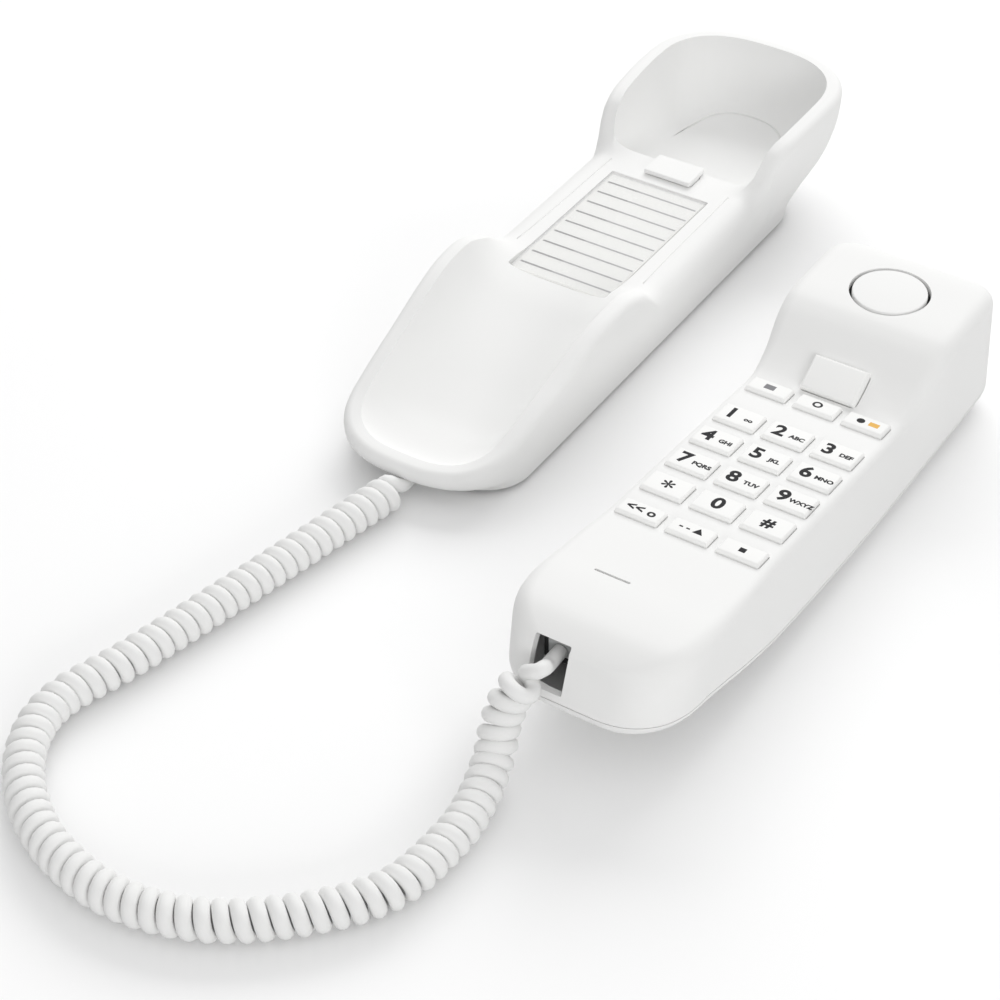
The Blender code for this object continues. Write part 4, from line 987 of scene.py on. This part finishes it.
class PHONE_OT_legends(bpy.types.Operator):
    """Print the digits, letters and small signs on the keys"""
    bl_idname = "phone.legends"
    bl_label = "Key legends"

    def execute(self, context):
        places = {name: (x, row) for name, x, row, _ in key_table()}
        for name, big, small in NUMBER_KEYS:
            centre = DIGIT_PLACE if small else (0, 0)
            size, weight = DIGIT_PRINT
            if big == "*":
                centre = STAR_PLACE
                size, weight = STAR_PRINT
            if big == "#":
                size, weight = HASH_PRINT
            marks = [mark("digit", big, size, centre, weight)]
            if small:
                marks.append(mark("letters", small, LETTER_PRINT[0], LETTER_PLACE, LETTER_PRINT[1]))
            print_on_key(f"legend_{name}", marks, name, face_place(*places[name], KEY_RISE), "dark_ink")
        ring = drum("ring_sign", 1.5, PRINT_HEIGHT, sides=32)
        cut(ring, drum("ring_middle", 0.85, 1.0, sides=32))
        dot = drum("dot_sign", 1.2, PRINT_HEIGHT, (-1.6, 0, 0), 24)
        label = block("label_sign", (3.0, 2.0, PRINT_HEIGHT), (2.4, 0, 0), 0.02, 1)
        square = block("square_sign", (3.2, 2.4, PRINT_HEIGHT), (0, 0, 0), 0.02, 1)
        stop = block("stop_sign", (1.9, 1.9, PRINT_HEIGHT), (0, 0, 0), 0.02, 1)
        arrows = mark("arrow_sign", "<< o", 4.4, (0, 0), 0.14)
        ramp = join("ramp_sign", [mark("ramp_step", "- -", 3.4, (-2.0, 0.2), 0.12),
                                  drum("ramp_wedge", 1.7, PRINT_HEIGHT, (2.0, 0, 0), 3)])
        signs = (("redial", "square", square, "grey_ink"),
                 ("flash", "ring", ring, "dark_ink"),
                 ("mute", "dot", dot, "dark_ink"),
                 ("mute", "label", label, "amber_ink"),
                 ("memory", "arrows", arrows, "dark_ink"),
                 ("volume", "ramp", ramp, "dark_ink"),
                 ("ringer", "stop", stop, "dark_ink"))
        for key, sign, piece, ink in signs:
            print_on_key(f"sign_{key}_{sign}", [piece], key, face_place(*places[key], KEY_RISE), ink)
        return {"FINISHED"}


# ==================== cord
def cord_path(turns, coil_radius, wire_radius, per_turn=16):
    """The cord's own line: a straight tail, the helix round the coil's route, and the other tail."""
    line = smooth_route(COIL_ROUTE, turns * per_turn + 1)
    helix_radius = coil_radius - wire_radius
    across = Vector((0, 0, 1))
    helix = []
    for k, point in enumerate(line):
        ahead = (line[min(k + 1, len(line) - 1)] - line[max(k - 1, 0)]).normalized()
        across = (across - ahead * across.dot(ahead)).normalized()
        side = ahead.cross(across)
        angle = 2 * math.pi * k / per_turn
        ease = min(1.0, 2 * k / per_turn, 2 * (len(line) - 1 - k) / per_turn)
        radius = helix_radius * (0.25 + 0.75 * ease * (2 - ease))
        helix.append(point + (across * math.cos(angle) + side * math.sin(angle)) * radius)
    return smooth_route([*HANDSET_TAIL, *helix[4:-4:2], *BASE_TAIL], turns * per_turn)


class PHONE_OT_cord(bpy.types.Operator):
    """Wind the curly cord from the handset's jack to the cradle's"""
    bl_idname = "phone.cord"
    bl_label = "Curly cord"

    def execute(self, context):
        sizes = context.scene.phone_sizes
        path = [p * MM for p in cord_path(sizes.coil_turns, sizes.coil_radius, sizes.wire_radius)]
        path.reverse()
        cord = wire("coiled_handset_cord", path, sizes.wire_radius)
        smooth(cord, 60)
        cord.data.materials.append(bpy.data.materials["cord_white"])
        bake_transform(cord)
        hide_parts("curly_cord", "handset_cord_tail", "base_cord_tail")
        return {"FINISHED"}


# ==================== other parts
class PHONE_OT_part_finishes(bpy.types.Operator):
    """Give the parts that keep their own shape the finish of their slot"""
    bl_idname = "phone.part_finishes"
    bl_label = "Part finishes"

    def execute(self, context):
        for entry in frame["record"]["subparts"]:
            node = frame["nodes"][entry["node"]]
            for holder in node.material_slots:
                holder.material = bpy.data.materials[entry["material_slot"]]
        return {"FINISHED"}


def turn_towards(thing, aim):
    thing.rotation_mode = "QUATERNION"
    thing.rotation_quaternion = (Vector(aim) - thing.location).to_track_quat("-Z", "Y")


def area_light(name, power, size, place):
    """A rectangular light turned to the telephone, left out of mirror reflections."""
    start_piece()
    bpy.ops.object.light_add(type="AREA", location=place)
    light = named(name)
    light.data.shape = "RECTANGLE"
    light.data.size, light.data.size_y = size
    light.data.energy = power
    light.visible_glossy = False
    turn_towards(light, LIGHT_AIM)


class PHONE_OT_stage(bpy.types.Operator):
    """Set up the floor, the surroundings, the lights and the camera"""
    bl_idname = "phone.stage"
    bl_label = "Stage"

    def execute(self, context):
        stage = context.scene.phone_stage
        start_piece()
        bpy.ops.mesh.primitive_plane_add(size=stage.floor_size)
        floor = named("floor")
        settle(floor)
        white = new_material("floor_white", (0.95, 0.95, 0.95), 0.10, (0.0, 0.01),
                             bpy.data.node_groups["moulded_grain"], FLOOR_SCALES, 0.004, swing=0.01)
        floor.data.materials.append(white)
        world = context.scene.world or bpy.data.worlds.new("surroundings")
        context.scene.world = world
        world.use_nodes = True
        tree = world.node_tree
        sky = tree.nodes["Background"]
        sky.inputs["Color"].default_value = (1.0, 1.0, 1.0, 1.0)
        direction = tree.nodes.new("ShaderNodeTexCoord")
        height = tree.nodes.new("ShaderNodeSeparateXYZ")
        strength = tree.nodes.new("ShaderNodeMapRange")
        strength.inputs["To Min"].default_value = stage.sky_side
        strength.inputs["To Max"].default_value = stage.sky_top
        tree.links.new(direction.outputs["Generated"], height.inputs["Vector"])
        tree.links.new(height.outputs["Z"], strength.inputs["Value"])
        tree.links.new(strength.outputs["Result"], sky.inputs["Strength"])
        area_light("main_light", stage.key_light, MAIN_LIGHT_SIZE, MAIN_LIGHT_PLACE)
        area_light("fill_light", stage.fill_light, FILL_LIGHT_SIZE, FILL_LIGHT_PLACE)
        start_piece()
        bpy.ops.object.camera_add(location=CAMERA_PLACE)
        camera = named("camera")
        turn_towards(camera, CAMERA_AIM)
        camera.data.lens = CAMERA_LENS
        camera.data.sensor_width = CAMERA_SENSOR
        context.scene.camera = camera
        context.scene.view_settings.view_transform = "Standard"
        return {"FINISHED"}


class PHONE_PT_panel(bpy.types.Panel):
    """Lists the telephone's settings and its steps"""
    bl_idname = "PHONE_PT_panel"
    bl_label = "Corded telephone"
    bl_space_type = "VIEW_3D"
    bl_region_type = "UI"
    bl_category = "Telephone"

    def draw(self, context):
        scene = context.scene
        for group in (scene.phone_sizes, scene.phone_looks, scene.phone_stage):
            box = self.layout.box()
            for name in group.__annotations__:
                box.prop(group, name)
        for step in STEPS:
            self.layout.operator(step.bl_idname)


SETTINGS = {"phone_looks": PhoneLooks, "phone_sizes": PhoneSizes, "phone_stage": PhoneStage}
STEPS = (PHONE_OT_stage, PHONE_OT_cord, PHONE_OT_cradle_shell, PHONE_OT_number_card,
         PHONE_OT_handset_shells, PHONE_OT_earpiece, PHONE_OT_keys, PHONE_OT_legends,
         PHONE_OT_part_finishes)


def register():
    for kind in (*SETTINGS.values(), *STEPS, PHONE_PT_panel):
        bpy.utils.register_class(kind)
    for name, kind in SETTINGS.items():
        setattr(bpy.types.Scene, name, PointerProperty(type=kind))


def unregister():
    for name in SETTINGS:
        delattr(bpy.types.Scene, name)
    for kind in (PHONE_PT_panel, *reversed(STEPS), *SETTINGS.values()):
        bpy.utils.unregister_class(kind)


def main():
    register()
    make_materials(bpy.context.scene.phone_looks)
    for step in STEPS:
        group, name = step.bl_idname.split(".")
        getattr(getattr(bpy.ops, group), name)()


if __name__ == "__main__":
    main()
